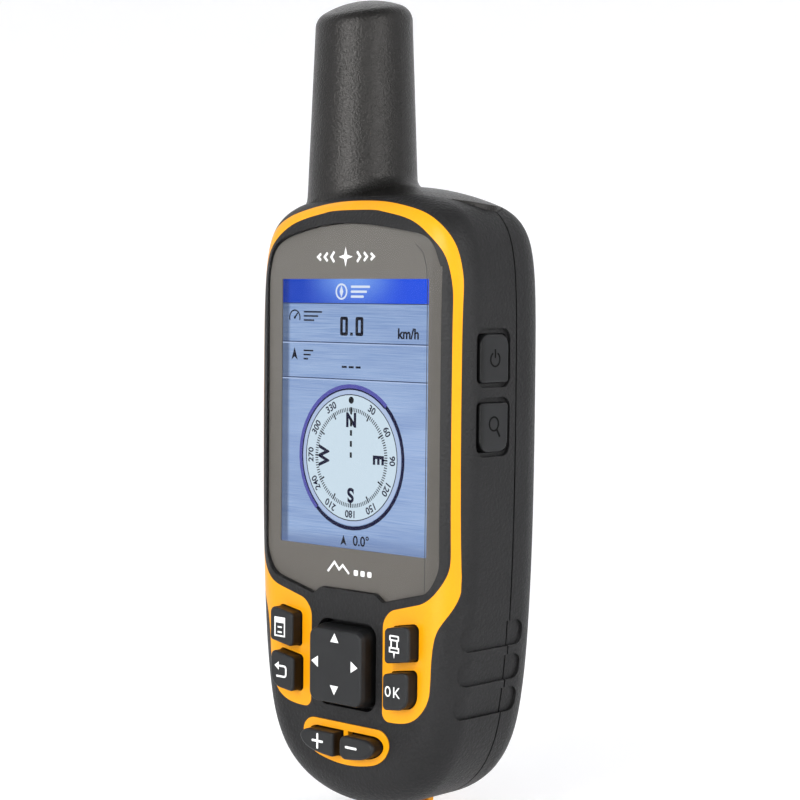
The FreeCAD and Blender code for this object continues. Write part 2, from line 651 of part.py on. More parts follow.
# ---- display ------------------------------------------------------------------------------
def display():
    pane = prism_y(lens_loop(), LENS_FRONT_Y, LENS_BACK_Y)
    bevel_x = 22.3
    bevel_drop = 0.48
    wedge = Part.makePolygon([V(bevel_x, LENS_FRONT_Y, -FAR), V(26.5, LENS_FRONT_Y - 1, -FAR),
                              V(26.5, LENS_FRONT_Y + bevel_drop * 1.3, -FAR),
                              V(bevel_x, LENS_FRONT_Y, -FAR)])
    bevel = Part.Face(wedge).extrude(V(0, 0, 2 * FAR))
    parts["display_lens"] = pane.cut([bevel, mirrored(bevel)])
    mask = prism_y(lens_loop(), LENS_BACK_Y + MASK_GAP, MASK_BACK_Y)
    window = rounded_box(-WINDOW_X, WINDOW_X, -5, 5, -WINDOW_Z, WINDOW_Z, 0.3, Y_AXIS)
    parts["display_mask"] = mask.cut(window)
    front = FRONT_Y + WALL + LCD_GASKET_T
    back = 5.6
    lip = box(-23.8, 23.8, 0, front + 1, -31.8, 31.2)
    gasket = box(-25.2, 25.2, front - LCD_GASKET_T, front, -36.3, 32.3)
    parts["lcd_gasket"] = gasket.cut(lip)
    tray = box(-25.3, 25.3, front, back, -36.4, 32.4)
    room = box(-24.9, 24.9, front + 0.4, back - 0.4, -36.0, 32.0)
    parts["lcd_frame"] = tray.cut([room, lip])
    parts["lcd_panel"] = box(-23.4, 23.4, MASK_BACK_Y + FIT_GAP, front + 0.4, -31.3, 30.9)
    parts["lcd_backlight"] = box(-24.8, 24.8, front + 0.4, back - 0.4, -35.9, 31.9)
    ribbon = [(back, -30), (5.8, -30), (5.8, -37.0), (6.4, -38.8), (6.4, -40.6), (6.2, -40.6),
              (6.2, -38.85), (back, -37.1)]
    corners = [V(-8, y, z) for y, z in ribbon]
    strip = Part.Face(Part.makePolygon(corners + corners[:1])).extrude(V(16, 0, 0))
    parts["display_ribbon"] = strip


# ---- keys ---------------------------------------------------------------------------------
def corner_key(row):
    """A key on the left side: a block with a softened face and a lip behind the casing."""
    cap = prism_y(key_loop(row, 0), KEY_FACE_Y, KEY_LIP_Y)
    cap = cap.makeFillet(0.5, edges_at_y(cap, KEY_FACE_Y))
    lip = prism_y(key_loop(row, 0.45), KEY_LIP_Y, KEY_BACK_Y)
    return fuse_all([cap, lip])


def zoom_key(corner_r):
    """The left zoom key, shaped to its half of the surround."""
    left = box(-FAR, -1.0, -FAR, FAR, -FAR, FAR)
    cap = prism_y(zoom_loop(ZOOM_BAND + 0.3), ZOOM_FACE_Y, KEY_LIP_Y).common(left)
    upright = []
    for edge in cap.Edges:
        if edge.BoundBox.XMin > -1.01 and edge.BoundBox.YLength > 1:
            upright.append(edge)
    cap = cap.makeFillet(corner_r, upright)
    cap = cap.makeFillet(0.7, edges_at_y(cap, ZOOM_FACE_Y))
    lip = prism_y(zoom_loop(ZOOM_BAND - 0.45), KEY_LIP_Y, KEY_BACK_Y)
    lip = lip.common(box(-FAR, -0.4, -FAR, FAR, -FAR, FAR))
    return fuse_all([cap, lip])


def front_keys():
    parts["menu_key"] = corner_key("upper")
    parts["back_key"] = corner_key("lower")
    parts["mark_key"] = mirrored(corner_key("upper"))
    parts["ok_key"] = mirrored(corner_key("lower"))
    parts["zoom_in_key"] = zoom_key(0.4)
    parts["zoom_out_key"] = mirrored(zoom_key(1.6))


def rocker():
    """The four-way pad, which tilts on a ball."""
    low_z = ROCKER_Z - 8.5
    high_z = ROCKER_Z + 8.5
    half_w = 8.1
    base = rounded_loop(-half_w, half_w, low_z, high_z, [2.6] * 4)
    skirt = prism_y(base, -1.6, 0.6)
    base.translate(V(0, -1.6, 0))
    face = rounded_loop(0.5 - half_w, half_w - 0.5, low_z + 0.6, high_z - 0.8, [2.0] * 4)
    face.translate(V(0, ROCKER_FACE_Y, 0))
    cap = Part.makeLoft([base, face], True)
    cap = cap.makeFillet(0.4, edges_at_y(cap, ROCKER_FACE_Y))
    hub = cylinder_y(0, ROCKER_Z, 3.0, 0.6, 2.1)
    socket = Part.makeSphere(BALL_R + 0.05, V(0, ROCKER_PIVOT_Y, ROCKER_Z))
    parts["rocker_pad"] = fuse_all([cap, skirt, hub]).cut(socket)
    parts["rocker_ball"] = Part.makeSphere(BALL_R, V(0, ROCKER_PIVOT_Y, ROCKER_Z))


def side_key(low, high, square_low):
    """A key on the right-hand side, drawn for the given span of height."""
    round_r = 2.6
    square_r = 0.7
    if square_low:
        radii = (square_r, square_r, round_r, round_r)
    else:
        radii = (round_r, round_r, square_r, square_r)
    cap = side_prism(rounded_loop(6.0, 14.8, low, high, radii), 28.2, 30.95)
    outer_edges = []
    for edge in cap.Edges:
        if edge.BoundBox.XMin > 30.9:
            outer_edges.append(edge)
    cap = cap.makeFillet(0.3, outer_edges)
    lip = side_prism(rounded_loop(5.35, 15.4, low - 0.6, high + 0.6, radii), 27.3, 28.2)
    return fuse_all([cap, lip])


def side_prism(wire, x0, x1):
    """Extrude along X an outline drawn as (y, z)."""
    turned = wire.copy()
    turned.rotate(V(0, 0, 0), Z_AXIS, 90)
    face = Part.Face(turned)
    face.translate(V(x0, 0, 0))
    return face.extrude(V(x1 - x0, 0, 0))


def side_keys():
    parts["power_key"] = side_key(7.6, 17.6, True)
    parts["find_key"] = side_key(-6.7, 3.4, False)
    parts["side_switch_board"] = box(25.0, 25.8, BOARD_FRONT_Y, 15.4, -9.0, 20.0)
    switches = [box(25.8, 26.2, 8.6, 12.2, z - 2.4, z + 2.4) for z in (12.6, -1.6)]
    plungers = [cylinder_x(10.4, z, 1.0, 26.2, 26.65) for z in (12.6, -1.6)]
    pairs = [fuse_all([body, plunger]) for body, plunger in zip(switches, plungers)]
    parts["side_switches"] = Part.makeCompound(pairs)


DOME_CENTRES = [(-17.1, -47.2), (17.1, -47.2), (-16.9, -57.2), (16.9, -57.2),
                (-6.2, -70.8), (6.2, -70.8), (0, ROCKER_Z + 6.0), (0, ROCKER_Z - 6.0),
                (-5.6, ROCKER_Z), (5.6, ROCKER_Z)]


def mat_outline():
    return [(-23.2, -41.9), (23.2, -41.9), (23.2, -57.5), (19.5, -63.4), (13.4, -65.6),
            (13.4, -75.2), (-13.4, -75.2), (-13.4, -65.6), (-19.5, -63.4), (-23.2, -57.5)]


def keypad():
    """The silicone mat behind the keys and the snap domes it presses on."""
    sheet = polygon_y(mat_outline(), MAT_FRONT_Y, MAT_BACK_Y)
    rim_outer = polygon_y(mat_outline(), MAT_BACK_Y, BOARD_FRONT_Y)
    corners = [V(x, 0, z) for x, z in mat_outline()]
    inner = Part.makePolygon(corners + corners[:1]).makeOffset2D(-1.0)
    rim = rim_outer.cut(prism_y(inner, MAT_BACK_Y - 1, BOARD_FRONT_Y + 1))
    nubs = [cylinder_y(x, z, 1.4, MAT_BACK_Y, 5.9) for x, z in DOME_CENTRES]
    post = cylinder_y(0, ROCKER_Z, 2.2, 2.75, MAT_FRONT_Y)
    cup = Part.makeSphere(BALL_R + 0.05, V(0, ROCKER_PIVOT_Y, ROCKER_Z))
    parts["keypad_mat"] = fuse_all([sheet, rim, post] + nubs).cut(cup)
    domes = [dome(x, z) for x, z in DOME_CENTRES]
    parts["snap_domes"] = Part.makeCompound(domes)


def dome(x, z):
    """A thin steel snap dome on the board."""
    rim_r = 2.4
    rise = 0.45
    outer = Part.makeCone(rim_r, 1.2, rise, V(x, BOARD_FRONT_Y, z), V(0, -1, 0))
    inner = Part.makeCone(rim_r - 0.25, 1.0, rise - 0.15, V(x, BOARD_FRONT_Y, z), V(0, -1, 0))
    return outer.cut(inner)


# ---- electronics --------------------------------------------------------------------------
def main_board():
    outline = [(-14, 38.4), (14, 38.4), (14, 33.4), (25, 33.4), (25, -50), (22, -60.5),
               (13.2, -65.3), (13.2, -75.5), (-13.2, -75.5), (-13.2, -65.3), (-22, -60.5),
               (-25, -50), (-25, 33.4), (-14, 33.4)]
    board = polygon_y(outline, BOARD_FRONT_Y, BOARD_BACK_Y)
    holes = [cylinder_y(x, z, 1.1, 5, 9) for x, z in BOARD_SCREWS]
    parts["main_board"] = board.cut(holes)
    chips = [
        (4.0, 16.0, -26.0, -14.0, 1.3), (-16.0, -6.0, -28.0, -16.0, 1.0),
        (-10.0, -4.0, 6.0, 12.0, 0.9), (-17.0, -13.5, 4.0, 7.5, 0.8),
        (-2.0, 3.0, -42.0, -37.0, 2.4), (8.0, 12.0, 12.0, 20.0, 1.6),
        (-21.0, -16.0, -46.0, -42.0, 2.0), (17.0, 21.0, 22.0, 30.0, 1.8),
    ]
    solids = [box(x0, x1, BOARD_BACK_Y, BOARD_BACK_Y + t, z0, z1) for x0, x1, z0, z1, t in chips]
    parts["board_chips"] = Part.makeCompound(solids)
    can = box(-20.0, 3.0, BOARD_BACK_Y, 10.2, 1.0, 18.0)
    room = box(-19.75, 2.75, BOARD_BACK_Y, 9.95, 1.25, 17.75)
    parts["shield_can"] = can.cut(room)
    sounder = cylinder_y(14.0, -45.0, 4.5, BOARD_BACK_Y, 10.2)
    parts["beeper"] = sounder.cut(cylinder_y(14.0, -45.0, 0.9, 9.0, 11.0))
    screws = [screw(x, z, BOARD_BACK_Y, 3.0, 0.75, 1.6, 1.0) for x, z in BOARD_SCREWS]
    parts["board_screws"] = Part.makeCompound(screws)


def screw(x, z, seat_y, tip_y, shank_r, head_r, head_h):
    """A pan-head screw driven from the back, with a cross recess in its head."""
    shank = cylinder_y(x, z, shank_r, tip_y, seat_y)
    head = cylinder_y(x, z, head_r, seat_y, seat_y + head_h)
    top = seat_y + head_h
    slot = head_r * 0.6
    cross = box(x - slot, x + slot, top - head_h * 0.5, top + 1, z - 0.25, z + 0.25).fuse(
        box(x - 0.25, x + 0.25, top - head_h * 0.5, top + 1, z - slot, z + slot))
    return fuse_all([shank, head]).cut(cross)


def case_screws():
    screws = [screw(x, z, 23.0, 7.0, 0.95, 2.2, 1.6) for x, z in CASE_SCREWS]
    parts["case_screws"] = Part.makeCompound(screws)


# ---- battery ------------------------------------------------------------------------------
def battery_tray():
    low = BAY_LOW_Z
    high = BAY_HIGH_Z
    body = rounded_box(-17.0, 17.0, 11.8, 27.9, low - 1.2, high + 1.2, 1.4, Y_AXIS)
    flange = rounded_box(-19.0, 19.0, 24.6, 25.8, low - 3.0, high + 3.0, 2.0, Y_AXIS)
    room = box(-15.6, 15.6, 12.6, 30, low, high)
    rib = box(-1.2, 1.2, 12.6, 14.6, low + 6, high - 6)
    parts["battery_tray"] = fuse_all([body, flange]).cut(room).fuse(rib).removeSplitter()


def aa_cell(x, flip):
    """An AA cell: positive nub up, or down when flipped."""
    can = cylinder_z(x, CELL_Y, CELL_R, 0, CELL_BODY)
    can = can.makeFillet(0.8, [e for e in can.Edges if isinstance(e.Curve, Part.Circle)])
    nub = cylinder_z(x, CELL_Y, 2.7, CELL_BODY - 0.1, CELL_BODY + CELL_NUB)
    cell = fuse_all([can, nub])
    if flip:
        cell.rotate(V(x, CELL_Y, 0), X_AXIS, 180)
        cell.translate(V(0, 0, BAY_LOW_Z + CONTACT_T + CELL_NUB + CELL_BODY))
    else:
        cell.translate(V(0, 0, BAY_HIGH_Z - CONTACT_T - CELL_NUB - CELL_BODY))
    return cell


def spring(x, base_z, direction):
    """A conical contact spring standing on its contact plate."""
    wire_r = 0.3
    base_r = 3.6
    top_r = 2.7
    turns = 3.5
    steps = 28
    room = BAY_HIGH_Z - BAY_LOW_Z - 2 * CONTACT_T - CELL_BODY - CELL_NUB
    rise = room - 2 * wire_r - 0.1
    spiral = []
    for i in range(steps + 1):
        share = i / steps
        turned = 2 * math.pi * turns * share
        radius = base_r + (top_r - base_r) * share
        spiral.append(V(radius * math.cos(turned), radius * math.sin(turned), rise * share))
    curve = Part.BSplineCurve()
    curve.interpolate(spiral)
    path = curve.toShape()
    heading = path.tangentAt(path.FirstParameter)
    section = Part.Wire(Part.makeCircle(wire_r, spiral[0], heading))
    coil = Part.Wire(path).makePipeShell([section], True, True)
    if direction < 0:
        coil.rotate(V(0, 0, 0), X_AXIS, 180)
    coil.translate(V(x, CELL_Y, base_z + direction * (wire_r + 0.05)))
    return coil


def battery_contacts():
    low = BAY_LOW_Z
    high = BAY_HIGH_Z
    bridge = box(-13.0, 13.0, 15.5, 25.0, low, low + CONTACT_T)
    plates = [box(x - 5.2, x + 5.2, 15.5, 25.0, high - CONTACT_T, high)
              for x in (-CELL_X, CELL_X)]
    parts["battery_contacts"] = Part.makeCompound([bridge] + plates)
    parts["battery_springs"] = Part.makeCompound([
        spring(-CELL_X, low + CONTACT_T, 1), spring(CELL_X, high - CONTACT_T, -1)])
    parts["aa_cell_left"] = aa_cell(-CELL_X, False)
    parts["aa_cell_right"] = aa_cell(CELL_X, True)


def door_loop(grow):
    return rounded_loop(-DOOR_X - grow, DOOR_X + grow, DOOR_LOW_Z - grow, DOOR_HIGH_Z + grow,
                        [6.0 + grow] * 4)


def door_seal_ring(y0, y1):
    low = BAY_LOW_Z - 2.1
    high = BAY_HIGH_Z + 2.1
    outer = rounded_box(-18.9, 18.9, y0, y1, low - 1.1, high + 1.1, 3.0, Y_AXIS)
    inner = rounded_box(-17.8, 17.8, y0 - 1, y1 + 1, low, high, 1.9, Y_AXIS)
    return outer.cut(inner)


def battery_door():
    plate = prism_y(door_loop(0), DOOR_BACK_Y, REAR_Y)
    plate = plate.makeFillet(0.5, edges_at_y(plate, REAR_Y))
    ribs = [box(-14, 14, 29.6, 31, z - 0.5, z + 0.5) for z in (-48, -52, -56)]
    hole = cylinder_y(0, LATCH_Z, 1.6, 20, 35)
    sink = cylinder_y(0, LATCH_Z, 4.3, 29.0, 35)
    parts["battery_door"] = plate.cut(ribs + [hole, sink])
    parts["door_seal"] = door_seal_ring(27.5, DOOR_BACK_Y)


def door_latch():
    """The quarter-turn latch: a flush disc, its shaft and a cross foot, with a lug for the ring."""
    disc = cylinder_y(0, LATCH_Z, 4.2, 29.05, 30.0)
    shaft = cylinder_y(0, LATCH_Z, 1.5, 24.6, 29.1)
    foot = cylinder_y(0, LATCH_Z, 3.4, 24.6, 25.6).common(
        box(-4, 4, 24, 26, LATCH_Z - 1.3, LATCH_Z + 1.3))
    lug = rounded_box(-2.2, 2.2, 29.9, RING_Y + 1.5, LATCH_Z - 1.5, LATCH_Z + 1.5, 0.8, X_AXIS)
    base = box(-2.2, 2.2, 29.9, 30.9, LATCH_Z - 1.5, LATCH_Z + 1.5)
    bore = cylinder_x(RING_Y, LATCH_Z, RING_WIRE_R + 0.05, -5, 5)
    groove = cylinder_y(0, LATCH_Z, 2.0, 27.1, 27.4).cut(cylinder_y(0, LATCH_Z, 1.1, 27.1, 27.4))
    parts["door_latch"] = fuse_all([disc, shaft, foot, lug, base]).cut([bore, groove])
    clip = cylinder_y(0, LATCH_Z, 2.7, 27.1, 27.4).cut(cylinder_y(0, LATCH_Z, 1.1, 27.1, 27.4))
    parts["latch_clip"] = clip.cut(box(0, 4, 27, 28, LATCH_Z - 0.8, LATCH_Z + 0.8))


def latch_ring():
    """A D-shaped wire ring, folded up flat against the door."""
    left = V(-RING_R, RING_Y, LATCH_Z)
    right = V(RING_R, RING_Y, LATCH_Z)
    path = Part.Wire([Part.Arc(right, V(0, RING_Y, LATCH_Z + RING_R), left).toShape()])
    section = Part.Wire(Part.makeCircle(RING_WIRE_R, right, Z_AXIS))
    bow = path.makePipeShell([section], True, False)
    bar = cylinder_x(RING_Y, LATCH_Z, RING_WIRE_R, -RING_R, RING_R)
    ends = [Part.makeSphere(RING_WIRE_R, point) for point in (left, right)]
    parts["latch_ring"] = fuse_all([bow, bar] + ends)


# ---- back fittings ------------------------------------------------------------------------
RAIL_SCREW_Z = (6.0, 14.0)


def clip_rail():
    """A T-shaped rail on the back that a belt clip or bracket slides on to."""
    stem = box(-4.0, 4.0, REAR_Y, 31.3, RAIL_LOW_Z, RAIL_HIGH_Z)
    head = rounded_box(-6.0, 6.0, 31.2, RAIL_FACE_Y, RAIL_LOW_Z, RAIL_HIGH_Z, 1.0, Y_AXIS)
    rail = fuse_all([stem, head])
    cuts = []
    for z in RAIL_SCREW_Z:
        cuts.append(cylinder_y(0, z, 1.1, 29, 33))
        cuts.append(cylinder_y(0, z, 2.0, 31.0, 33))
    parts["clip_rail"] = rail.cut(cuts)
    screws = [screw(0, z, 31.0, 23.0, 0.9, 1.9, 1.1) for z in RAIL_SCREW_Z]
    parts["rail_screws"] = Part.makeCompound(screws)


def port_cover_loop(grow):
    return rounded_loop(-7.0 - grow, 7.0 + grow, PORT_Z - 5.2 - grow, PORT_HINGE_Z + 0.8 + grow,
                        [2.5 + grow, 2.5 + grow, 0.8, 0.8])


def port():
    """The data socket on its own small board, and the rubber cover that swings over it."""
    parts["port_board"] = box(-9.0, 9.0, BOARD_BACK_Y, 26.2, PORT_Z - 3.2, PORT_Z - 2.0)
    shell = box(-3.9, 3.9, 19.5, 26.9, PORT_Z - 2.0, PORT_Z + 1.9)
    mouth = box(-3.5, 3.5, 21.0, 27.5, PORT_Z - 1.6, PORT_Z + 1.5)
    tongue = box(-2.6, 2.6, 21.0, 26.4, PORT_Z - 0.3, PORT_Z + 0.2)
    parts["usb_port"] = fuse_all([shell.cut(mouth), tongue])
    plate = prism_y(port_cover_loop(0), 28.45, REAR_Y)
    hinge_bar = cylinder_x(PORT_HINGE_Y, PORT_HINGE_Z, 0.55, -7.0, 7.0)
    plug = rounded_box(-4.6, 4.6, 27.2, 28.6, PORT_Z - 2.1, PORT_Z + 2.1, 0.8, Y_AXIS)
    nail = box(-2.5, 2.5, 29.4, 31, PORT_Z - 5.3, PORT_Z - 4.4)
    cover = fuse_all([plate, plug]).cut(nail)
    swing = swing_clearance()
    parts["port_cover"] = largest(cover.cut(swing).fuse(hinge_bar))


def swing_clearance():
    """Rounds the cover's top edge about its hinge, so that it can turn in its recess."""
    upper = box(-10, 10, 25, 35, PORT_HINGE_Z, 36)
    return upper.cut(cylinder_x(PORT_HINGE_Y, PORT_HINGE_Z, 0.6, -10, 10))


# ---- assembly -----------------------------------------------------------------------------
def place(shape):
    moved = shape.copy()
    moved.translate(V(0, -UNIT_CENTRE_Y, -UNIT_BOTTOM_Z))
    return moved


def build():
    front_casing()
    rear_casing()
    antenna_cover()
    antenna_inside()
    front_accent()
    zoom_surround()
    rear_accent()
    parts["case_seal"] = case_seal()
    display()
    front_keys()
    rocker()
    side_keys()
    keypad()
    main_board()
    case_screws()
    battery_tray()
    battery_contacts()
    battery_door()
    door_latch()
    latch_ring()
    clip_rail()
    port()


def save():
    os.makedirs("parts", exist_ok=True)
    for name, shape in parts.items():
        placed = place(shape)
        placed.exportStep("parts/" + name + ".step")
        size = placed.BoundBox
        print(f"{name:20s} solids {len(placed.Solids):2d} valid {placed.isValid()} "
              f"volume {placed.Volume:9.1f}  z {size.ZMin:6.1f} to {size.ZMax:6.1f}")


build()
save()
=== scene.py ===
import json
import math

import bmesh
import bpy
from mathutils import Matrix, Vector


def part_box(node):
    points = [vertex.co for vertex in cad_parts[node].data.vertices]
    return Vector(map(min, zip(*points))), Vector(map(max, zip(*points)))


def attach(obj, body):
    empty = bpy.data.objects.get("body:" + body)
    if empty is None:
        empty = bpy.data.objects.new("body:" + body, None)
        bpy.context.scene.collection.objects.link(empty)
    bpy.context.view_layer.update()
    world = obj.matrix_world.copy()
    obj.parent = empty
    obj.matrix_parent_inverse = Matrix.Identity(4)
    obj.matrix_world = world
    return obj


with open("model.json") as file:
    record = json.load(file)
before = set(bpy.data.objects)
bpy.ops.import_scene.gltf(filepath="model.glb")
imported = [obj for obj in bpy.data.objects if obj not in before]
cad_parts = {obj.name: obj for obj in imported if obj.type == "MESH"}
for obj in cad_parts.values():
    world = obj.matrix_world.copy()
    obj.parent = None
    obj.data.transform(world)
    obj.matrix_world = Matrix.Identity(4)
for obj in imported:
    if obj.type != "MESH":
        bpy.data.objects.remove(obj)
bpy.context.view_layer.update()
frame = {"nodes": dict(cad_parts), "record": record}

# Graphics and legends are drawn in millimetres from the middle of the display:
# x to the right, y from the front towards the back, z up.
MM = 0.001
DRAWING_Y = -0.01395      # depth zero of the drawing in the model's frame
DRAWING_Z = 0.0894        # middle of the display above the foot of the unit
CURVE_STEPS = 12          # points on a quarter of a drawn circle
PICTURE_X = -0.6          # middle line of the picture on the display
FLAT_NODES = ("display_lens", "display_mask", "lcd_panel")
FLAT_CREASE = 4           # degrees between faces that make an edge on flat nodes
ROUND_CREASE = 32         # the same on all other nodes
FACE_WEIGHT = 50          # pull of large faces on the shading beside them
SCREEN_GLOW = 1.03        # emission of the picture on the display
SCREEN_SHEEN = 0.1        # specular level of the picture
KEY_WALL_Y = -0.01745     # where the faces of the front keys turn into their walls
KEY_WALL_BLEND = 0.0005   # depth over which the painted shade of the walls fades in
FRONT_KEYS_Y = -0.008     # the front keys lie in front of this, the side keys behind it


def at(x, y, z):
    """A point of the drawing in the model's frame, in metres."""
    return Vector((x * MM, DRAWING_Y + y * MM, DRAWING_Z + z * MM))


def face_depth(node):
    """Depth in the drawing of a node's foremost surface."""
    return (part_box(node)[0][1] - DRAWING_Y) / MM


def side_face(node):
    """How far to the right a node reaches, in millimetres."""
    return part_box(node)[1][0] / MM


# ---- materials ----------------------------------------------------------------------------
def srgb(r, g, b):
    """Display values from 0 to 255 as a linear colour."""
    def linear(v):
        v = v / 255
        if v <= 0.04045:
            return v / 12.92
        return ((v + 0.055) / 1.055) ** 2.4
    return (linear(r), linear(g), linear(b), 1.0)


class Material:
    """A Principled material and short ways to add nodes to it."""

    def __init__(self, name, colour=(0.5, 0.5, 0.5, 1.0), roughness=0.5, **sockets):
        self.material = bpy.data.materials.new(name)
        self.material.use_nodes = True
        self.tree = self.material.node_tree
        self.shader = self.tree.nodes["Principled BSDF"]
        self.shader.inputs["Base Color"].default_value = colour
        self.shader.inputs["Roughness"].default_value = roughness
        for socket, value in sockets.items():
            self.shader.inputs[socket.replace("_", " ")].default_value = value
        self.place = self.node("ShaderNodeTexCoord").outputs["Object"]

    def node(self, kind, **values):
        made = self.tree.nodes.new(kind)
        for key, value in values.items():
            setattr(made, key, value)
        return made

    def link(self, source, target):
        self.tree.links.new(source, target)

    def stretched(self, x, y, z):
        """The object's coordinates scaled along each axis."""
        mapping = self.node("ShaderNodeMapping")
        mapping.inputs["Scale"].default_value = (x, y, z)
        self.link(self.place, mapping.inputs["Vector"])
        return mapping.outputs["Vector"]

    def noise(self, scale, detail=2.0, rough=0.5, vector=None):
        made = self.node("ShaderNodeTexNoise")
        made.inputs["Scale"].default_value = scale
        made.inputs["Detail"].default_value = detail
        made.inputs["Roughness"].default_value = rough
        self.link(vector or self.place, made.inputs["Vector"])
        return made.outputs["Fac"]

    def cells(self, scale, vector=None):
        made = self.node("ShaderNodeTexVoronoi")
        made.feature = "SMOOTH_F1"
        made.inputs["Scale"].default_value = scale
        self.link(vector or self.place, made.inputs["Vector"])
        return made.outputs["Distance"]

    def ramp(self, source, stops):
        """Colours or greys at positions along a value."""
        made = self.node("ShaderNodeValToRGB")
        line = made.color_ramp
        while len(line.elements) < len(stops):
            line.elements.new(0.5)
        for element, (position, colour) in zip(line.elements, stops):
            if isinstance(colour, (int, float)):
                colour = (colour, colour, colour, 1.0)
            element.position = position
            element.color = colour
        self.link(source, made.inputs["Fac"])
        return made.outputs["Color"]

    def spread(self, source, low, high, to_low, to_high):
        """Map a value's range onto another, with soft ends."""
        made = self.node("ShaderNodeMapRange")
        made.interpolation_type = "SMOOTHSTEP"
        made.inputs["From Min"].default_value = low
        made.inputs["From Max"].default_value = high
        made.inputs["To Min"].default_value = to_low
        made.inputs["To Max"].default_value = to_high
        self.link(source, made.inputs["Value"])
        return made.outputs["Result"]

    def maths(self, operation, first, second):
        made = self.node("ShaderNodeMath", operation=operation)
        for socket, value in zip(made.inputs, (first, second)):
            if isinstance(value, (int, float)):
                socket.default_value = value
            else:
                self.link(value, socket)
        return made.outputs["Value"]

    def mix(self, share, first, second, blend="MIX"):
        made = self.node("ShaderNodeMix", data_type="RGBA", blend_type=blend)
        for socket, value in zip((made.inputs[0], made.inputs[6], made.inputs[7]),
                                 (share, first, second)):
            if isinstance(value, (int, float, tuple)):
                socket.default_value = value
            else:
                self.link(value, socket)
        return made.outputs[2]

    def axes(self):
        made = self.node("ShaderNodeSeparateXYZ")
        self.link(self.place, made.inputs["Vector"])
        return made.outputs["X"], made.outputs["Y"], made.outputs["Z"]

    def colour(self, source):
        self.link(source, self.shader.inputs["Base Color"])

    def roughness(self, source):
        self.link(source, self.shader.inputs["Roughness"])

    def bump(self, *layers):
        """Stack bump layers, each a height, a strength and a depth in metres."""
        below = None
        for height, strength, depth in layers:
            made = self.node("ShaderNodeBump")
            made.inputs["Strength"].default_value = strength
            made.inputs["Distance"].default_value = depth
            self.link(height, made.inputs["Height"])
            if below is not None:
                self.link(below, made.inputs["Normal"])
            below = made.outputs["Normal"]
        self.link(below, self.shader.inputs["Normal"])


def casing_rubber():
    """Charcoal moulded casing with a fine soft-touch grain."""
    m = Material("casing_rubber", roughness=0.5, Specular_IOR_Level=0.23)
    tone = m.noise(60, 3.0)
    fine = m.noise(2600, 3.0, 0.6)
    base = m.ramp(tone, [(0.35, (0.0066, 0.0065, 0.0068, 1)), (0.65, (0.0092, 0.0091, 0.0095, 1))])
    m.colour(m.mix(m.spread(fine, 0.3, 0.7, 0.0, 0.5), base, (0.018, 0.0178, 0.018, 1)))
    m.roughness(m.spread(fine, 0.3, 0.7, 0.42, 0.6))
    m.bump((m.cells(1500), 0.5, 0.00018), (m.noise(3200, 2.0), 0.5, 0.00012))
    return m.material


def antenna_rubber():
    """Charcoal antenna cover with a coarser leather-like grain."""
    m = Material("antenna_rubber", roughness=0.4, Specular_IOR_Level=0.36,
                 Specular_Tint=(1.0, 0.97, 0.94, 1.0))
    fine = m.noise(1700, 3.0, 0.6)
    m.colour(m.ramp(fine, [(0.3, (0.0025, 0.0024, 0.0022, 1)), (0.7, (0.0065, 0.0062, 0.0057, 1))]))
    m.roughness(m.spread(fine, 0.3, 0.7, 0.28, 0.4))
    m.bump((m.cells(2100), 0.6, 0.00014), (m.noise(3300, 2.0), 0.7, 0.00015))
    return m.material


def trim_yellow():
    """Orange-yellow moulded trim, satin, with a faint mottling."""
    m = Material("trim_yellow", roughness=0.42, Specular_IOR_Level=0.25)
    tone = m.noise(90, 3.0)
    fine = m.noise(2400, 2.0)
    m.colour(m.mix(m.spread(fine, 0.35, 0.65, 0.0, 0.25),
                   m.ramp(tone, [(0.3, (0.72, 0.287, 0.001, 1)), (0.7, (0.75, 0.307, 0.001, 1))]),
                   (0.68, 0.257, 0.001, 1)))
    m.roughness(m.spread(tone, 0.3, 0.7, 0.33, 0.42))
    m.bump((m.noise(3000, 2.0), 0.12, 0.00005))
    return m.material


def lens_glass():
    """Clear cover lens."""
    m = Material("lens_glass", (0.02, 0.02, 0.022, 1), 0.03, Alpha=0.05, IOR=1.52)
    m.roughness(m.spread(m.noise(40, 3.0), 0.4, 0.7, 0.02, 0.06))
    return m.material


def lens_mask():
    """Grey-brown border behind the lens, with painted light that makes it lighter towards the top and
    a strip of painted shade along its right side, under the lens's bevel.
    """
    m = Material("lens_mask", roughness=0.4)
    x, _, z = m.axes()
    # painted light: the mask is lighter towards the top
    height = m.spread(z, 0.05, 0.13, 0.0, 1.0)
    grain = m.noise(5000, 1.0)
    base = m.mix(height, srgb(82, 78, 72), srgb(91, 88, 83))
    # painted shade: a darker strip along the right side, under the lens's bevel
    bevel_shade_strip = m.spread(x, 0.0223, 0.0227, 0.0, 0.4)
    bevel_shaded = m.mix(bevel_shade_strip, base, srgb(68, 64, 58))
    m.colour(m.mix(m.spread(grain, 0.4, 0.6, 0.0, 0.06), bevel_shaded, (0.3, 0.28, 0.25, 1)))
    m.roughness(m.spread(m.noise(900), 0.3, 0.7, 0.32, 0.45))
    return m.material


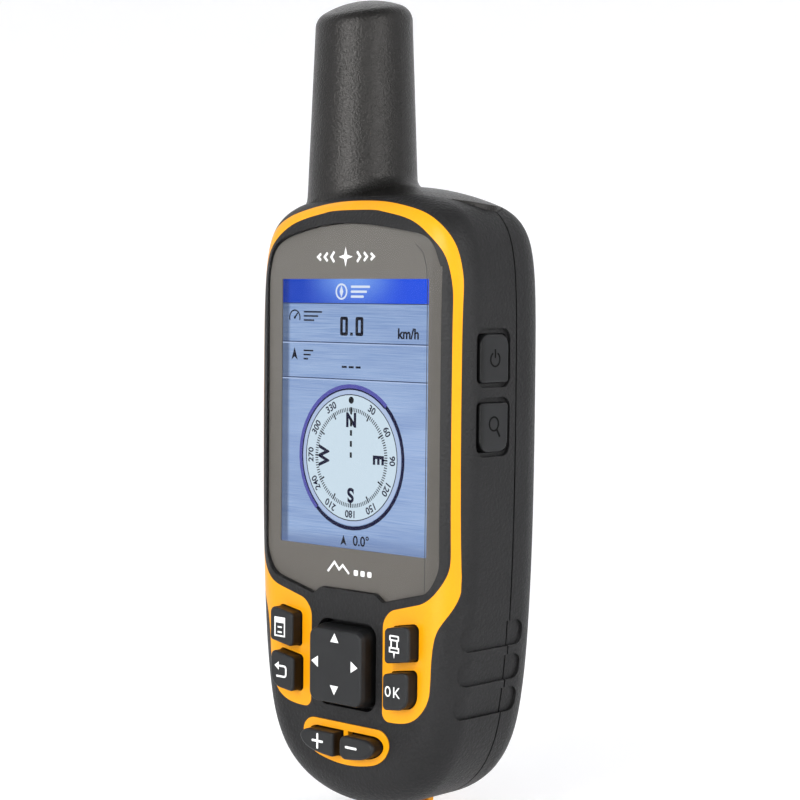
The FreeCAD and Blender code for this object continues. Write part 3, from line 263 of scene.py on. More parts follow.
def display_face():
    """The lit panel: steel blue with fine sideways brushing, with painted shade along its left side,
    and darker along its lower edge.
    """
    m = Material("display_face", (0.004, 0.005, 0.008, 1), 0.3, Emission_Strength=SCREEN_GLOW,
                 Specular_IOR_Level=SCREEN_SHEEN)
    x, _, z = m.axes()
    streaks = m.noise(1.0, 3.0, 0.7, m.stretched(60, 1, 3600))
    broad = m.noise(1.0, 2.0, 0.5, m.stretched(24, 1, 190))
    rise = m.spread(z, 0.060, 0.114, 0.0, 1.0)
    base = m.ramp(rise, [(0.0, srgb(134, 163, 210)), (0.35, srgb(150, 175, 221)),
                         (0.75, srgb(142, 169, 213)), (1.0, srgb(126, 155, 202))])
    streaked = m.mix(m.spread(streaks, 0.32, 0.68, 0.0, 0.85), base, srgb(172, 194, 228))
    streaked = m.mix(m.spread(broad, 0.35, 0.65, 0.0, 0.35), streaked, srgb(112, 138, 190))
    # painted shade: the lens mask's edge darkens the left side of the picture
    left = m.spread(x, -0.0203, -0.0192, 0.72, 0.0)
    shaded = m.mix(left, streaked, srgb(56, 70, 98))
    low = m.spread(z, 0.0606, 0.0645, 0.6, 0.0)
    m.link(m.mix(low, shaded, srgb(96, 116, 160)), m.shader.inputs["Emission Color"])
    m.roughness(m.spread(streaks, 0.3, 0.7, 0.25, 0.35))
    return m.material


def title_blue():
    """The display's title bar: deep blue, lighter towards the middle of its upper edge, with painted
    shade along its left side.
    """
    m = Material("title_blue", (0.002, 0.004, 0.01, 1), 0.3, Emission_Strength=SCREEN_GLOW,
                 Specular_IOR_Level=SCREEN_SHEEN)
    x, _, z = m.axes()
    side = m.maths("ABSOLUTE", m.maths("ADD", x, -PICTURE_X * MM), 0.0)
    share = m.spread(side, 0.001, 0.016, 1.0, 0.0)
    height = m.spread(z, 0.1126, 0.1182, 0.35, 1.0)
    glow = m.maths("MULTIPLY", share, height)
    speck = m.noise(1800, 2.0)
    base = m.mix(m.spread(x, -0.02, 0.02, 0.0, 1.0), srgb(13, 62, 188), srgb(26, 78, 230))
    lit_up = m.mix(glow, base, srgb(116, 160, 240))
    noisy = m.mix(m.spread(speck, 0.35, 0.65, 0.0, 0.12), lit_up, srgb(70, 110, 220))
    # painted shade: the lens mask's edge darkens the left end of the title bar
    left = m.spread(x, -0.0205, -0.0194, 0.5, 0.0)
    m.link(m.mix(left, noisy, srgb(8, 26, 96)), m.shader.inputs["Emission Color"])
    m.roughness(m.spread(speck, 0.3, 0.7, 0.25, 0.35))
    return m.material


def lit(name, colour, second=None):
    """A flat colour shown by the display, with a faint grain of picture cells."""
    m = Material(name, (0.003, 0.003, 0.004, 1), 0.3, Emission_Strength=SCREEN_GLOW,
                 Specular_IOR_Level=SCREEN_SHEEN)
    grain = m.spread(m.noise(7000, 1.0), 0.4, 0.6, 0.0, 0.25)
    other = second or tuple(min(1.0, v * 1.15) for v in colour[:3]) + (1.0,)
    m.link(m.mix(grain, colour, other), m.shader.inputs["Emission Color"])
    return m.material


def key_rubber():
    """Smooth charcoal silicone of the keys, with painted shade on the walls of the front keys."""
    m = Material("key_rubber", roughness=0.5, Specular_IOR_Level=0.22)
    tone = m.noise(220, 3.0)
    fine = m.noise(5200, 2.0)
    _, y, _ = m.axes()
    # painted shade on the walls of the front keys, set by depth
    painted_wall_shade = m.maths("MULTIPLY", m.spread(y, KEY_WALL_Y, KEY_WALL_Y + KEY_WALL_BLEND, 0.0, 0.85),
                    m.spread(y, FRONT_KEYS_Y, FRONT_KEYS_Y + 0.002, 1.0, 0.0))
    face = m.ramp(tone, [(0.3, (0.0125, 0.013, 0.0137, 1)), (0.7, (0.0155, 0.0162, 0.017, 1))])
    m.colour(m.mix(painted_wall_shade, face, (0.0015, 0.0015, 0.0015, 1)))
    m.roughness(m.spread(tone, 0.3, 0.7, 0.4, 0.5))
    m.bump((fine, 0.12, 0.00003))
    return m.material


def print_white():
    """White ink of the legends, slightly uneven."""
    m = Material("print_white", roughness=0.5)
    m.colour(m.ramp(m.noise(2500, 2.0), [(0.35, (0.8, 0.8, 0.8, 1)), (0.7, (0.88, 0.88, 0.87, 1))]))
    m.bump((m.noise(6000, 1.0), 0.15, 0.00002))
    return m.material


def moulded(name, dark, light, roughness, scale, depth, **sockets):
    """A plain moulded or rubber surface with its own grain."""
    m = Material(name, roughness=roughness, **sockets)
    m.colour(m.ramp(m.noise(scale / 6, 3.0), [(0.3, dark), (0.7, light)]))
    m.roughness(m.spread(m.noise(scale, 2.0), 0.3, 0.7, roughness - 0.06, roughness + 0.06))
    m.bump((m.noise(scale, 2.0), 0.3, depth))
    return m.material


def symbol_rubber():
    """Painted shade: a deep black standing in for the shade on the moulded symbols of the side keys.
    """
    return moulded("symbol_rubber", (0.0008, 0.0008, 0.0008, 1.0), (0.0012, 0.0012, 0.0012, 1.0),
                   0.6, 2500, 0.00003, Specular_IOR_Level=0.08)


def metal(name, colour, roughness, streak):
    """A metal surface with fine drawing marks, streak scales the marks along each axis."""
    m = Material(name, colour, roughness, Metallic=1.0)
    marks = m.noise(1.0, 3.0, 0.6, m.stretched(*streak))
    blotch = m.noise(300, 3.0)
    deeper = tuple(v * 0.8 for v in colour[:3]) + (1.0,)
    m.colour(m.mix(m.spread(blotch, 0.3, 0.7, 0.0, 0.6), colour, deeper))
    m.roughness(m.spread(marks, 0.3, 0.7, roughness - 0.08, roughness + 0.1))
    m.bump((marks, 0.15, 0.00002))
    return m.material


def board_green():
    """Solder mask over faint copper tracks."""
    m = Material("board_green", roughness=0.35, Coat_Weight=0.3)
    tracks = m.node("ShaderNodeTexBrick")
    tracks.inputs["Scale"].default_value = 260
    tracks.inputs["Mortar Size"].default_value = 0.03
    m.link(m.place, tracks.inputs["Vector"])
    m.colour(m.mix(tracks.outputs["Fac"], (0.008, 0.07, 0.03, 1), (0.02, 0.13, 0.05, 1)))
    m.bump((tracks.outputs["Fac"], 0.2, 0.00004))
    return m.material


def cell_wrap():
    """Plain printed wrap of the cells: a dark body with a pale band near one end."""
    m = Material("cell_wrap", roughness=0.3, Coat_Weight=0.4)
    _, _, z = m.axes()
    band = m.spread(z, 0.0735, 0.0737, 0.0, 1.0)
    m.colour(m.mix(band, (0.012, 0.03, 0.09, 1), (0.55, 0.38, 0.16, 1)))
    m.roughness(m.spread(m.noise(400), 0.3, 0.7, 0.25, 0.38))
    return m.material


BLACK = (0.009, 0.009, 0.0095, 1.0)
SOOT = (0.016, 0.016, 0.017, 1.0)

SLOT_MATERIALS = {
    "casing_rubber": casing_rubber(),
    "antenna_rubber": antenna_rubber(),
    "trim_yellow": trim_yellow(),
    "lens_glass": lens_glass(),
    "lens_mask": lens_mask(),
    "display_face": display_face(),
    "backlight_white": moulded("backlight_white", (0.72, 0.73, 0.75, 1), (0.8, 0.8, 0.8, 1),
                               0.4, 900, 0.00003),
    "key_rubber": key_rubber(),
    "seal_rubber": moulded("seal_rubber", BLACK, SOOT, 0.55, 1500, 0.00005),
    "foam_black": moulded("foam_black", BLACK, SOOT, 0.8, 3000, 0.0002),
    "plated_steel": metal("plated_steel", (0.55, 0.55, 0.53, 1), 0.3, (400, 400, 4000)),
    "spring_steel": metal("spring_steel", (0.6, 0.59, 0.57, 1), 0.25, (3000, 400, 400)),
    "ring_steel": metal("ring_steel", (0.46, 0.46, 0.46, 1), 0.34, (300, 3000, 300)),
    "board_green": board_green(),
    "chip_black": moulded("chip_black", BLACK, SOOT, 0.5, 2500, 0.00004),
    "copper": metal("copper", (0.75, 0.36, 0.2, 1), 0.28, (2000, 2000, 300)),
    "antenna_ceramic": moulded("antenna_ceramic", (0.62, 0.6, 0.55, 1), (0.7, 0.68, 0.63, 1),
                               0.5, 1800, 0.00005),
    "ribbon_amber": moulded("ribbon_amber", (0.35, 0.15, 0.015, 1), (0.42, 0.19, 0.02, 1),
                            0.3, 700, 0.00002),
    "tray_black": moulded("tray_black", SOOT, (0.026, 0.026, 0.027, 1.0), 0.5, 2200, 0.00006),
    "cell_wrap": cell_wrap(),
    "can_tin": metal("can_tin", (0.66, 0.65, 0.62, 1), 0.32, (3000, 300, 3000)),
    "coax_black": moulded("coax_black", BLACK, SOOT, 0.4, 2500, 0.00003),
}
WHITE_PRINT = print_white()


def dress_nodes():
    """Give every CAD node the material of its slot, crisp edges and even shading."""
    for entry in frame["record"]["subparts"]:
        node = frame["nodes"][entry["node"]]
        node.data.materials.clear()
        node.data.materials.append(SLOT_MATERIALS[entry["material_slot"]])
        split = node.modifiers.new("crease", "EDGE_SPLIT")
        split.split_angle = math.radians(FLAT_CREASE if entry["node"] in FLAT_NODES else ROUND_CREASE)
        node.modifiers.new("even", "WEIGHTED_NORMAL").weight = FACE_WEIGHT


# ---- flat drawing -------------------------------------------------------------------------
def circle(x, z, radius, start=0.0, end=360.0):
    """Points along a circle or an arc, in degrees anticlockwise from the right."""
    count = max(4, round(4 * CURVE_STEPS * abs(end - start) / 360))
    closed = abs(end - start) >= 360
    points = []
    for i in range(count if closed else count + 1):
        angle = math.radians(start + (end - start) * i / count)
        points.append((x + radius * math.cos(angle), z + radius * math.sin(angle)))
    return points


def rectangle(x0, x1, z0, z1):
    """The four corners of a rectangle."""
    return [(x0, z0), (x1, z0), (x1, z1), (x0, z1)]


def rounded(x0, x1, z0, z1, radius):
    """A rectangle with round corners."""
    corners = [(x1 - radius, z0 + radius, -90), (x1 - radius, z1 - radius, 0),
               (x0 + radius, z1 - radius, 90), (x0 + radius, z0 + radius, 180)]
    points = []
    for x, z, start in corners:
        points += circle(x, z, radius, start, start + 90)
    return points


def moved(points, x, z, turn=0.0):
    """Turn a flat loop about the drawing's origin, then move it."""
    c = math.cos(math.radians(turn))
    s = math.sin(math.radians(turn))
    return [(x + px * c - pz * s, z + px * s + pz * c) for px, pz in points]


class Sheet:
    """Thin shapes lying in one layer, gathered into one mesh.

    A layer faces the front unless it is sideways; then it faces right and its first
    coordinate runs from the front to the back."""

    def __init__(self, front, back, sideways=False):
        self.mesh = bmesh.new()
        self.front = front
        self.back = back
        self.sideways = sideways

    def corner(self, depth, across, up):
        place = at(depth, across, up) if self.sideways else at(across, depth, up)
        return self.mesh.verts.new(place)

    def fill(self, loop):
        """A closed loop as a thin slab."""
        front = [self.corner(self.front, x, z) for x, z in loop]
        back = [self.corner(self.back, x, z) for x, z in loop]
        self.mesh.faces.new(front)
        self.mesh.faces.new(back[::-1])
        for i in range(len(loop)):
            j = (i + 1) % len(loop)
            self.mesh.faces.new((front[i], back[i], back[j], front[j]))

    def band(self, outer, inner, closed):
        """The strip between two lines that have as many points as each other."""
        rings = []
        for points, depth in ((outer, self.front), (inner, self.front),
                              (inner, self.back), (outer, self.back)):
            rings.append([self.corner(depth, x, z) for x, z in points])
        spans = len(outer) if closed else len(outer) - 1
        for i in range(spans):
            j = (i + 1) % len(outer)
            for k in range(4):
                a = rings[k]
                b = rings[(k + 1) % 4]
                self.mesh.faces.new((a[i], a[j], b[j], b[i]))
        if not closed:
            self.mesh.faces.new([ring[0] for ring in rings])
            self.mesh.faces.new([ring[-1] for ring in rings][::-1])

    def ring(self, x, z, outer, inner):
        self.band(circle(x, z, outer), circle(x, z, inner), True)

    def stroke(self, path, width, closed=False):
        """A line of even width through the points, with mitred corners."""
        left = []
        right = []
        count = len(path)
        for i, (x, z) in enumerate(path):
            before = path[i - 1] if (closed or i > 0) else None
            after = path[(i + 1) % count] if (closed or i < count - 1) else None
            normals = []
            for a, b in ((before, (x, z)), ((x, z), after)):
                if a is not None and b is not None:
                    length = math.hypot(b[0] - a[0], b[1] - a[1])
                    normals.append(((a[1] - b[1]) / length, (b[0] - a[0]) / length))
            nx = sum(n[0] for n in normals) / len(normals)
            nz = sum(n[1] for n in normals) / len(normals)
            reach = width / 2 / (nx * nx + nz * nz)
            left.append((x + nx * reach, z + nz * reach))
            right.append((x - nx * reach, z - nz * reach))
        self.band(left, right, closed)

    def text(self, words, size, x, z, turn=0.0, weight=0.05):
        """Generic lettering in the built-in typeface, centred on a point and thickened."""
        curve = bpy.data.curves.new("lettering", "FONT")
        curve.body = words
        curve.size = size * MM
        curve.align_x = "CENTER"
        curve.align_y = "CENTER"
        curve.extrude = (self.back - self.front) / 2 * MM
        curve.offset = weight * MM
        holder = bpy.data.objects.new("lettering", curve)
        bpy.context.scene.collection.objects.link(holder)
        mesh = bpy.data.meshes.new_from_object(holder)
        upright = Matrix.Rotation(math.radians(90), 4, "X")
        turned = Matrix.Rotation(math.radians(turn), 4, "Z")
        place = Matrix.Translation(at(x, (self.front + self.back) / 2, z))
        mesh.transform(place @ upright @ turned)
        self.mesh.from_mesh(mesh)
        bpy.data.meshes.remove(mesh)
        bpy.data.objects.remove(holder)
        bpy.data.curves.remove(curve)

    def piece(self, name, body, material, slot=None):
        """Make the gathered shapes into one object that rides on a body."""
        bmesh.ops.recalc_face_normals(self.mesh, faces=self.mesh.faces)
        mesh = bpy.data.meshes.new(name)
        self.mesh.to_mesh(mesh)
        self.mesh.free()
        mesh.materials.append(material)
        made = bpy.data.objects.new(name, mesh)
        bpy.context.scene.collection.objects.link(made)
        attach(made, body)
        return made


# ---- the picture on the display -----------------------------------------------------------
PICTURE_LEFT = -22.6      # edges of the picture, hidden under the lens mask
PICTURE_RIGHT = 22.6
PICTURE_TOP = 29.6
TITLE_LOW = 23.65         # lower edge of the title bar
ROW_LINES = (15.2, 7.4)   # lines under the two readings
LAYER = 0.02              # from one layer of the picture to the next
DIAL_Z = -9.3             # middle of the compass dial
DIAL_R = 15.7             # its rim, and the rings inside it
RIM_R = DIAL_R - 0.85
EDGE_R = DIAL_R - 1.2
SLOPE_R = DIAL_R - 2.15
FACE_R = DIAL_R - 2.3
RIM_TURN = 48             # degrees at which the rim passes from lit to shaded
TICKS_R = 10.7
NUMBERS_R = 12.0
LETTERS_R = 7.9


def screen_sheet(step):
    """A layer of the picture; a higher step lies nearer the viewer."""
    face = face_depth("lcd_panel")
    return Sheet(face - LAYER * step - 0.01, face - LAYER * step + 0.008)


def screen_piece(sheet, name, material):
    """Finish a layer of the picture as one piece."""
    sheet.piece(name, "root", material, "display_face")


def draw_title():
    """The title bar, with a compass needle and three bars in place of words."""
    bar = screen_sheet(1)
    bar.fill(rectangle(PICTURE_LEFT, PICTURE_RIGHT, TITLE_LOW, PICTURE_TOP))
    screen_piece(bar, "title_bar", title_blue())
    icon = screen_sheet(2)
    x = PICTURE_X - 3.2
    z = 26.1
    icon.ring(x, z, 1.75, 1.35)
    icon.fill([(x, z + 1.3), (x - 0.55, z), (x, z - 1.3), (x + 0.55, z)])
    for i in range(3):
        icon.fill(rounded(PICTURE_X - 0.4, PICTURE_X + 5.2 - 0.9 * i, 26.9 - 1.05 * i,
                          27.4 - 1.05 * i, 0.2))
    screen_piece(icon, "title_icon", lit("screen_white", srgb(222, 232, 250)))


def draw_rows():
    """Dark lines between the rows, each with a pale line under it."""
    lines = screen_sheet(1)
    for z in (TITLE_LOW - 0.1,) + ROW_LINES:
        lines.fill(rectangle(PICTURE_LEFT, PICTURE_RIGHT, z - 0.1, z + 0.1))
    screen_piece(lines, "row_lines", lit("screen_line", srgb(44, 58, 92)))
    shine = screen_sheet(1)
    for z in ROW_LINES:
        shine.fill(rectangle(PICTURE_LEFT, PICTURE_RIGHT, z - 0.38, z - 0.16))
    screen_piece(shine, "row_shine", lit("screen_shine", srgb(176, 196, 232)))


def draw_readings(ink):
    """The two readings, their unit, and small icons in place of words."""
    digits = screen_sheet(2)
    for x in (PICTURE_X - 2.35, PICTURE_X + 2.2):
        outer = rounded(x - 1.15, x + 1.15, 16.7, 20.75, 0.5)
        inner = rounded(x - 0.38, x + 0.38, 17.4, 20.05, 0.15)
        digits.band(outer, inner, True)
    digits.fill(rectangle(PICTURE_X - 0.5, PICTURE_X + 0.25, 16.75, 17.4))
    for i in range(3):
        left = PICTURE_X - 2.9 + 2.05 * i
        digits.fill(rectangle(left, left + 1.45, 9.8, 10.25))
    screen_piece(digits, "reading_digits", ink)
    units = screen_sheet(2)
    units.text("km/h", 3.0, 15.7, 17.3, 0.0, 0.09)
    screen_piece(units, "reading_unit", ink)
    gauge = screen_sheet(2)
    x = -18.0
    z = 20.4
    gauge.stroke(circle(x, z, 1.6, 200, -20), 0.3)
    gauge.stroke([(x, z), (x + 0.9, z + 1.0)], 0.35)
    gauge.fill(circle(x, z, 0.3))
    for i in range(3):
        gauge.fill(rounded(-15.2, -9.6 - 1.2 * i, 21.5 - 0.9 * i, 21.85 - 0.9 * i, 0.12))
    screen_piece(gauge, "speed_icon", ink)
    heading = screen_sheet(2)
    heading.fill([(x, 13.9), (x - 0.95, 11.2), (x, 11.9), (x + 0.95, 11.2)])
    for i in range(3):
        heading.fill(rounded(-15.2, -12.2 - 0.8 * i, 13.1 - 0.9 * i, 13.45 - 0.9 * i, 0.12))
    screen_piece(heading, "course_icon", ink)


def draw_dial(ink):
    """The compass dial: rings, ticks, numbers, letters and a dashed pointer."""
    navy = lit("dial_navy", srgb(10, 12, 54))
    violet = lit("dial_violet", srgb(84, 84, 168), srgb(98, 98, 186))
    for name, start, outer, inner, material in (
            ("dial_rim", RIM_TURN, DIAL_R, RIM_R, violet),
            ("dial_shadow", RIM_TURN + 180, DIAL_R - 0.15, RIM_R - 0.15, navy),
            ("dial_edge", RIM_TURN, RIM_R, EDGE_R, navy)):
        half = screen_sheet(1)
        half.band(circle(PICTURE_X, DIAL_Z, outer, start, start + 180),
                  circle(PICTURE_X, DIAL_Z, inner, start, start + 180), False)
        screen_piece(half, name, material)
    slope = screen_sheet(1)
    slope.ring(PICTURE_X, DIAL_Z, EDGE_R, SLOPE_R)
    screen_piece(slope, "dial_slope", lit("dial_pale", srgb(176, 194, 226)))
    face = screen_sheet(1)
    face.fill(circle(PICTURE_X, DIAL_Z, FACE_R))
    screen_piece(face, "dial_face", lit("dial_white", srgb(205, 224, 237)))
    ticks = screen_sheet(2)
    ticks.ring(PICTURE_X, DIAL_Z, SLOPE_R + 0.03, FACE_R - 0.02)
    for angle in range(0, 360, 3):
        long_one = angle % 30 == 0
        length = 1.5 if long_one else 0.85
        half_w = 0.17 if long_one else 0.11
        tick = rectangle(-half_w, half_w, TICKS_R - length, TICKS_R)
        ticks.fill(moved(tick, PICTURE_X, DIAL_Z, -angle))
    screen_piece(ticks, "dial_ticks", ink)
    numbers = screen_sheet(2)
    for degrees in range(30, 360, 30):
        angle = math.radians(degrees)
        numbers.text(str(degrees), 2.15, PICTURE_X + NUMBERS_R * math.sin(angle),
                     DIAL_Z + NUMBERS_R * math.cos(angle), -degrees, 0.045)
    for i, letter in enumerate("NESW"):
        angle = math.radians(90 * i)
        numbers.text(letter, 4.2, PICTURE_X + LETTERS_R * math.sin(angle),
                     DIAL_Z + LETTERS_R * math.cos(angle), -90 * i, 0.16)
    screen_piece(numbers, "dial_numbers", lit("dial_ink", srgb(14, 16, 48)))
    pointer = screen_sheet(3)
    pointer.fill(circle(PICTURE_X, DIAL_Z + 12.3, 0.75))
    for low, high in ((9.4, 10.8), (6.7, 8.3), (4.7, 5.9), (2.35, 3.6), (0.0, 1.15)):
        pointer.fill(rectangle(PICTURE_X - 0.3, PICTURE_X + 0.3, DIAL_Z + low, DIAL_Z + high))
    screen_piece(pointer, "dial_pointer", lit("pointer_ink", srgb(10, 16, 20)))


def draw_caption(ink):
    """An arrowhead and the bearing under the dial."""
    caption = screen_sheet(2)
    caption.fill([(-2.6, -26.0), (-3.5, -28.3), (-2.6, -27.7), (-1.7, -28.3)])
    caption.text("0.0°", 3.0, 2.6, -27.1)
    screen_piece(caption, "caption", ink)


def draw_screen():
    """Everything that the display shows."""
    ink = lit("screen_ink", srgb(8, 12, 28))
    draw_title()
    draw_rows()
    draw_readings(ink)
    draw_dial(ink)
    draw_caption(ink)


# ---- marks printed behind the lens, and painted shade on its bevel ------------------------
def draw_lens_marks():
    """Plain pictograms above and below the display, of no maker, and a line of painted shade on the
    lens's right bevel.
    """
    depth = face_depth("display_mask")
    top = Sheet(depth - 0.03, depth + 0.01)
    middle_x = -2.3
    middle_z = 33.5
    star = []
    for i in range(8):
        reach = 2.1 if i % 2 == 0 else 0.62
        angle = math.radians(45 * i)
        star.append((middle_x + reach * math.cos(angle), middle_z + reach * math.sin(angle)))
    top.fill(star)
    for sign in (-1, 1):
        for i in range(3):
            x = middle_x + sign * (3.4 + 2.0 * i)
            half = 1.1 - 0.2 * i
            top.stroke([(x, middle_z + half), (x + sign * 0.9, middle_z), (x, middle_z - half)], 0.55)
    top.piece("lens_top_mark", "root", WHITE_PRINT)
    low = Sheet(depth - 0.03, depth + 0.01)
    low.stroke([(-6.9, -34.2), (-4.9, -32.0), (-3.5, -33.5), (-2.4, -32.5), (-0.5, -34.2)], 0.5)
    for i in range(3):
        low.fill(rounded(0.9 + 2.0 * i, 2.1 + 2.0 * i, -34.4, -33.2, 0.3))
    low.piece("lens_low_mark", "root", WHITE_PRINT)
    # painted shade: a thin black line on the lens's face, along the edge of its right bevel
    lens_face = face_depth("display_lens")
    edge = Sheet(lens_face - 0.01, lens_face + 0.05)
    edge.stroke([(22.3, -35.6), (22.3, 27.5), (22.0, 31.2), (21.0, 34.2),
                 (19.0, 35.9)], 0.13)
    edge.piece("lens_bevel_shade_line", "root", SLOT_MATERIALS["seal_rubber"])


# ---- legends on the keys ------------------------------------------------------------------
LEGEND_RAISE = 0.05       # height of a legend above its key
LEGEND_SUNK = 0.12        # depth of its foot in the key
LEGEND_LINE = 0.32
SYMBOL_LINE = 0.34


def key_sheet(node):
    """A thin layer on a front key's face."""
    face = face_depth(node)
    return Sheet(face - LEGEND_RAISE, face + LEGEND_SUNK)


def draw_menu():
    """A page with a heading and two lines."""
    sheet = key_sheet("menu_key")
    x, z = -17.45, -47.1
    sheet.stroke(rectangle(x - 1.48, x + 1.48, z - 1.98, z + 1.98), LEGEND_LINE, True)
    sheet.fill(rectangle(x - 1.32, x + 1.32, z + 0.9, z + 1.82))
    for low in (-1.15, -0.05):
        sheet.fill(rounded(x - 0.65, x + 0.65, z + low - 0.17, z + low + 0.18, 0.12))
    sheet.piece("menu_icon", "menu_key", WHITE_PRINT)


def draw_back():
    """A hooked arrow."""
    sheet = key_sheet("back_key")
    x, z = -17.0, -56.6
    hook = [(x - 1.2, z + 0.95)] + circle(x + 0.95, z + 0.35, 0.6, 90, 0)
    hook += circle(x + 0.95, z - 0.75, 0.6, 0, -90) + [(x - 1.4, z - 1.35)]
    sheet.stroke(hook, 0.42)
    sheet.fill([(x - 2.0, z + 0.95), (x - 0.7, z + 0.05), (x - 0.7, z + 1.85)])
    sheet.piece("back_icon", "back_key", WHITE_PRINT)


def draw_mark():
    """A pin for marking a place."""
    sheet = key_sheet("mark_key")
    x, z = 16.65, -47.25
    for half_w, low, high, radius in ((1.35, 1.15, 2.35, 0.3), (1.42, -1.3, -0.15, 0.1)):
        outer = rounded(x - half_w, x + half_w, z + low, z + high, radius)
        inner = rounded(x - half_w + LEGEND_LINE, x + half_w - LEGEND_LINE,
                        z + low + LEGEND_LINE, z + high - LEGEND_LINE, radius / 3)
        sheet.band(outer, inner, True)
    for side in (-0.84, 0.84):
        sheet.stroke([(x + side, z + 1.17), (x + side, z - 0.17)], LEGEND_LINE)
    sheet.fill([(x - 0.22, z - 1.28), (x - 0.03, z - 2.4), (x + 0.03, z - 2.4),
                (x + 0.22, z - 1.28)])
    sheet.piece("mark_icon", "mark_key", WHITE_PRINT)


def draw_ok():
    """The letters O and K."""
    sheet = key_sheet("ok_key")
    x, z = 16.35, -56.8
    round_letter = []
    for px, pz in circle(0, 0, 1.0):
        round_letter.append((x - 1.38 + 0.66 * px, z + 0.96 * pz))
    sheet.stroke(round_letter, 0.29, True)
    sheet.fill(rectangle(x + 0.2, x + 0.5, z - 1.1, z + 1.1))
    sheet.fill([(x + 0.48, z - 0.1), (x + 1.55, z + 1.1), (x + 1.95, z + 1.1),
                (x + 0.48, z - 0.52)])
    sheet.fill([(x + 0.8, z + 0.1), (x + 2.05, z - 1.1), (x + 1.65, z - 1.1),
                (x + 0.6, z - 0.14)])
    sheet.piece("ok_legend", "ok_key", WHITE_PRINT)


def draw_zoom():
    """A plus and a minus with round ends."""
    plus = key_sheet("zoom_in_key")
    x, z = -5.3, -70.3
    arm, half = 1.45, 0.25
    outline = []
    for quarter in range(4):
        tip = circle(arm, 0, half, -90, 90)
        outline += moved(tip, x, z, 90 * quarter)
        outline += moved([(half, half)], x, z, 90 * quarter)
    plus.fill(outline)
    plus.piece("zoom_in_icon", "zoom_in_key", WHITE_PRINT)
    minus = key_sheet("zoom_out_key")
    x = 4.7
    minus.fill(circle(x + arm, z, half, -90, 90) + circle(x - arm, z, half, 90, 270))
    minus.piece("zoom_out_icon", "zoom_out_key", WHITE_PRINT)


def draw_rocker():
    """Four arrowheads, pointing away from the middle of the pad."""
    sheet = key_sheet("rocker_pad")
    x, z = -0.1, -53.0
    arrow = [(-1.2, 0.0), (1.2, 0.0), (0.0, 1.95)]
    for turn, reach in ((0, 4.65), (90, 4.9), (180, 4.65), (270, 4.9)):
        placed = moved(arrow, 0, reach)
        sheet.fill(moved(placed, x, z, turn))
    sheet.piece("rocker_arrows", "rocker_pad", WHITE_PRINT)


def side_sheet(node):
    """A thin layer on a side key's face."""
    face = side_face(node)
    return Sheet(face + LEGEND_RAISE, face - 0.1, True)


def draw_side_keys(ink):
    """Moulded symbols: a power ring and a magnifier, coloured with painted shade."""
    # the ink here is painted shade, a black standing in for the shade on the moulded strokes
    power = side_sheet("power_key")
    y, z = 10.5, 12.4
    power.stroke(circle(y, z, 1.45, 120, 420), SYMBOL_LINE)
    power.stroke([(y, z + 0.3), (y, z + 2.1)], SYMBOL_LINE)
    power.piece("power_symbol", "power_key", ink)
    find = side_sheet("find_key")
    y, z = 10.3, -0.9
    find.ring(y, z, 1.6, 1.25)
    find.stroke([(y + 0.95, z - 1.2), (y + 1.9, z - 2.7)], 0.45)
    find.piece("find_symbol", "find_key", ink)


# ---- camera, light and floor --------------------------------------------------------------
def set_camera():
    """A long lens from the front right, a little above the middle of the unit."""
    azimuth = math.radians(42.74)
    elevation = math.radians(2.85)
    roll = math.radians(0.548)
    place = (0.29797, -0.32121, 0.11388)
    focal_length = 90.64
    sensor = 36.0
    back = Vector((math.sin(azimuth) * math.cos(elevation),
                   -math.cos(azimuth) * math.cos(elevation), math.sin(elevation)))
    right = Vector((math.cos(azimuth), math.sin(azimuth), 0.0))
    up = back.cross(right)
    camera_x = math.cos(roll) * right + math.sin(roll) * up
    camera_y = -math.sin(roll) * right + math.cos(roll) * up
    turn = Matrix((camera_x, camera_y, back)).transposed().to_4x4()
    data = bpy.data.cameras.new("camera")
    data.lens = focal_length
    data.sensor_width = sensor
    camera = bpy.data.objects.new("camera", data)
    bpy.context.scene.collection.objects.link(camera)
    camera.matrix_world = Matrix.Translation(place) @ turn
    bpy.context.scene.camera = camera


AIM_HEIGHT = 0.09         # the lights face the unit's middle


def soft_light(name, azimuth, distance, height, width, tall, power):
    """A rectangular soft box at a bearing round the unit, facing it."""
    data = bpy.data.lights.new(name, "AREA")
    data.shape = "RECTANGLE"
    data.size = width
    data.size_y = tall
    data.energy = power
    light = bpy.data.objects.new(name, data)
    bpy.context.scene.collection.objects.link(light)
    angle = math.radians(azimuth)
    light.location = (distance * math.sin(angle), -distance * math.cos(angle), height)
    aim = Vector((0, 0, AIM_HEIGHT)) - light.location
    light.rotation_euler = aim.to_track_quat("-Z", "Y").to_euler()


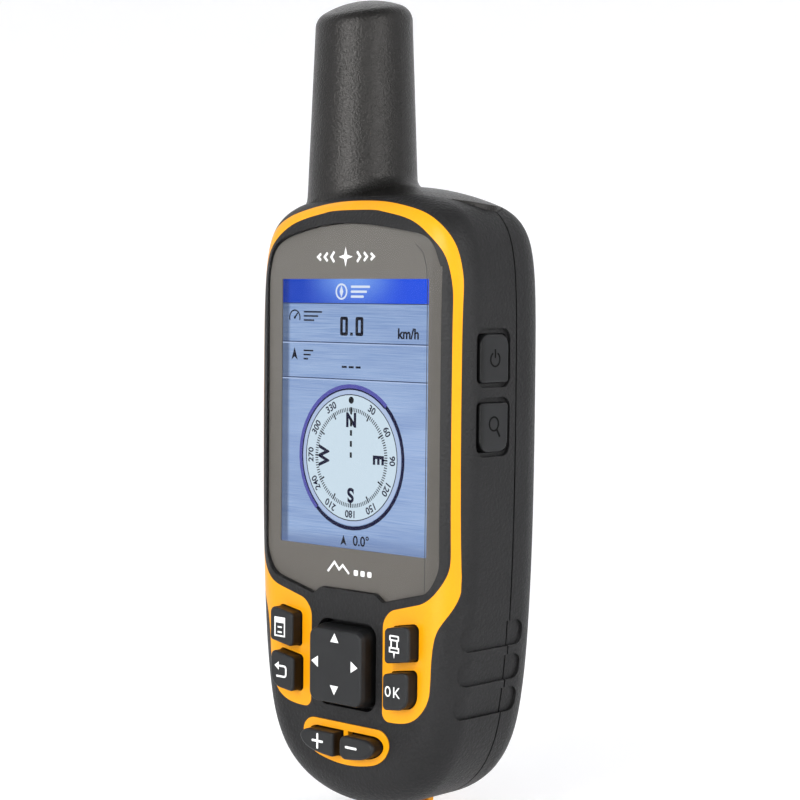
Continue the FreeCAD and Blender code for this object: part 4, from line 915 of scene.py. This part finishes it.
def set_stage():
    """A pale floor that sweeps up into a round backdrop."""
    flat = 0.5
    sweep = 1.1
    top = 2.4
    sweep_steps = 24
    profile = [(0.02, 0.0), (flat, 0.0)]
    for i in range(1, sweep_steps + 1):
        angle = math.radians(90 * i / sweep_steps)
        profile.append((flat + sweep * math.sin(angle), sweep * (1 - math.cos(angle))))
    profile.append((flat + sweep, top))
    bowl = bmesh.new()
    segments = 96
    rings = []
    for radius, z in profile:
        ring = []
        for i in range(segments):
            angle = 2 * math.pi * i / segments
            ring.append(bowl.verts.new((radius * math.cos(angle), radius * math.sin(angle), z)))
        rings.append(ring)
    bowl.faces.new(rings[0])
    for a, b in zip(rings, rings[1:]):
        for i in range(segments):
            j = (i + 1) % segments
            bowl.faces.new((a[i], a[j], b[j], b[i]))
    bmesh.ops.recalc_face_normals(bowl, faces=bowl.faces)
    mesh = bpy.data.meshes.new("floor")
    bowl.to_mesh(mesh)
    bowl.free()
    for face in mesh.polygons:
        face.use_smooth = True
    paint = Material("floor_paint", (0.86, 0.86, 0.87, 1.0), 0.7,
                     Emission_Color=(1.0, 1.0, 1.0, 1.0), Emission_Strength=0.25)
    mesh.materials.append(paint.material)
    floor = bpy.data.objects.new("floor", mesh)
    bpy.context.scene.collection.objects.link(floor)


def set_light():
    """Three soft boxes and an even sky."""
    soft_light("key_light", azimuth=8, distance=0.75, height=0.22, width=0.24, tall=0.8, power=6.7)
    soft_light("side_light", azimuth=79, distance=0.75, height=0.32, width=0.14, tall=0.7, power=3.0)
    soft_light("top_light", azimuth=-120, distance=0.6, height=0.95, width=0.7, tall=0.7, power=1.6)
    world = bpy.data.worlds.new("world")
    world.use_nodes = True
    background = world.node_tree.nodes["Background"]
    background.inputs["Color"].default_value = (0.95, 0.97, 1.0, 1.0)
    background.inputs["Strength"].default_value = 0.22
    bpy.context.scene.world = world
    bpy.context.scene.view_settings.view_transform = "Standard"


set_camera()
dress_nodes()
draw_screen()
draw_lens_marks()
draw_menu()
draw_back()
draw_mark()
draw_ok()
draw_zoom()
draw_rocker()
draw_side_keys(symbol_rubber())
set_stage()
set_light()
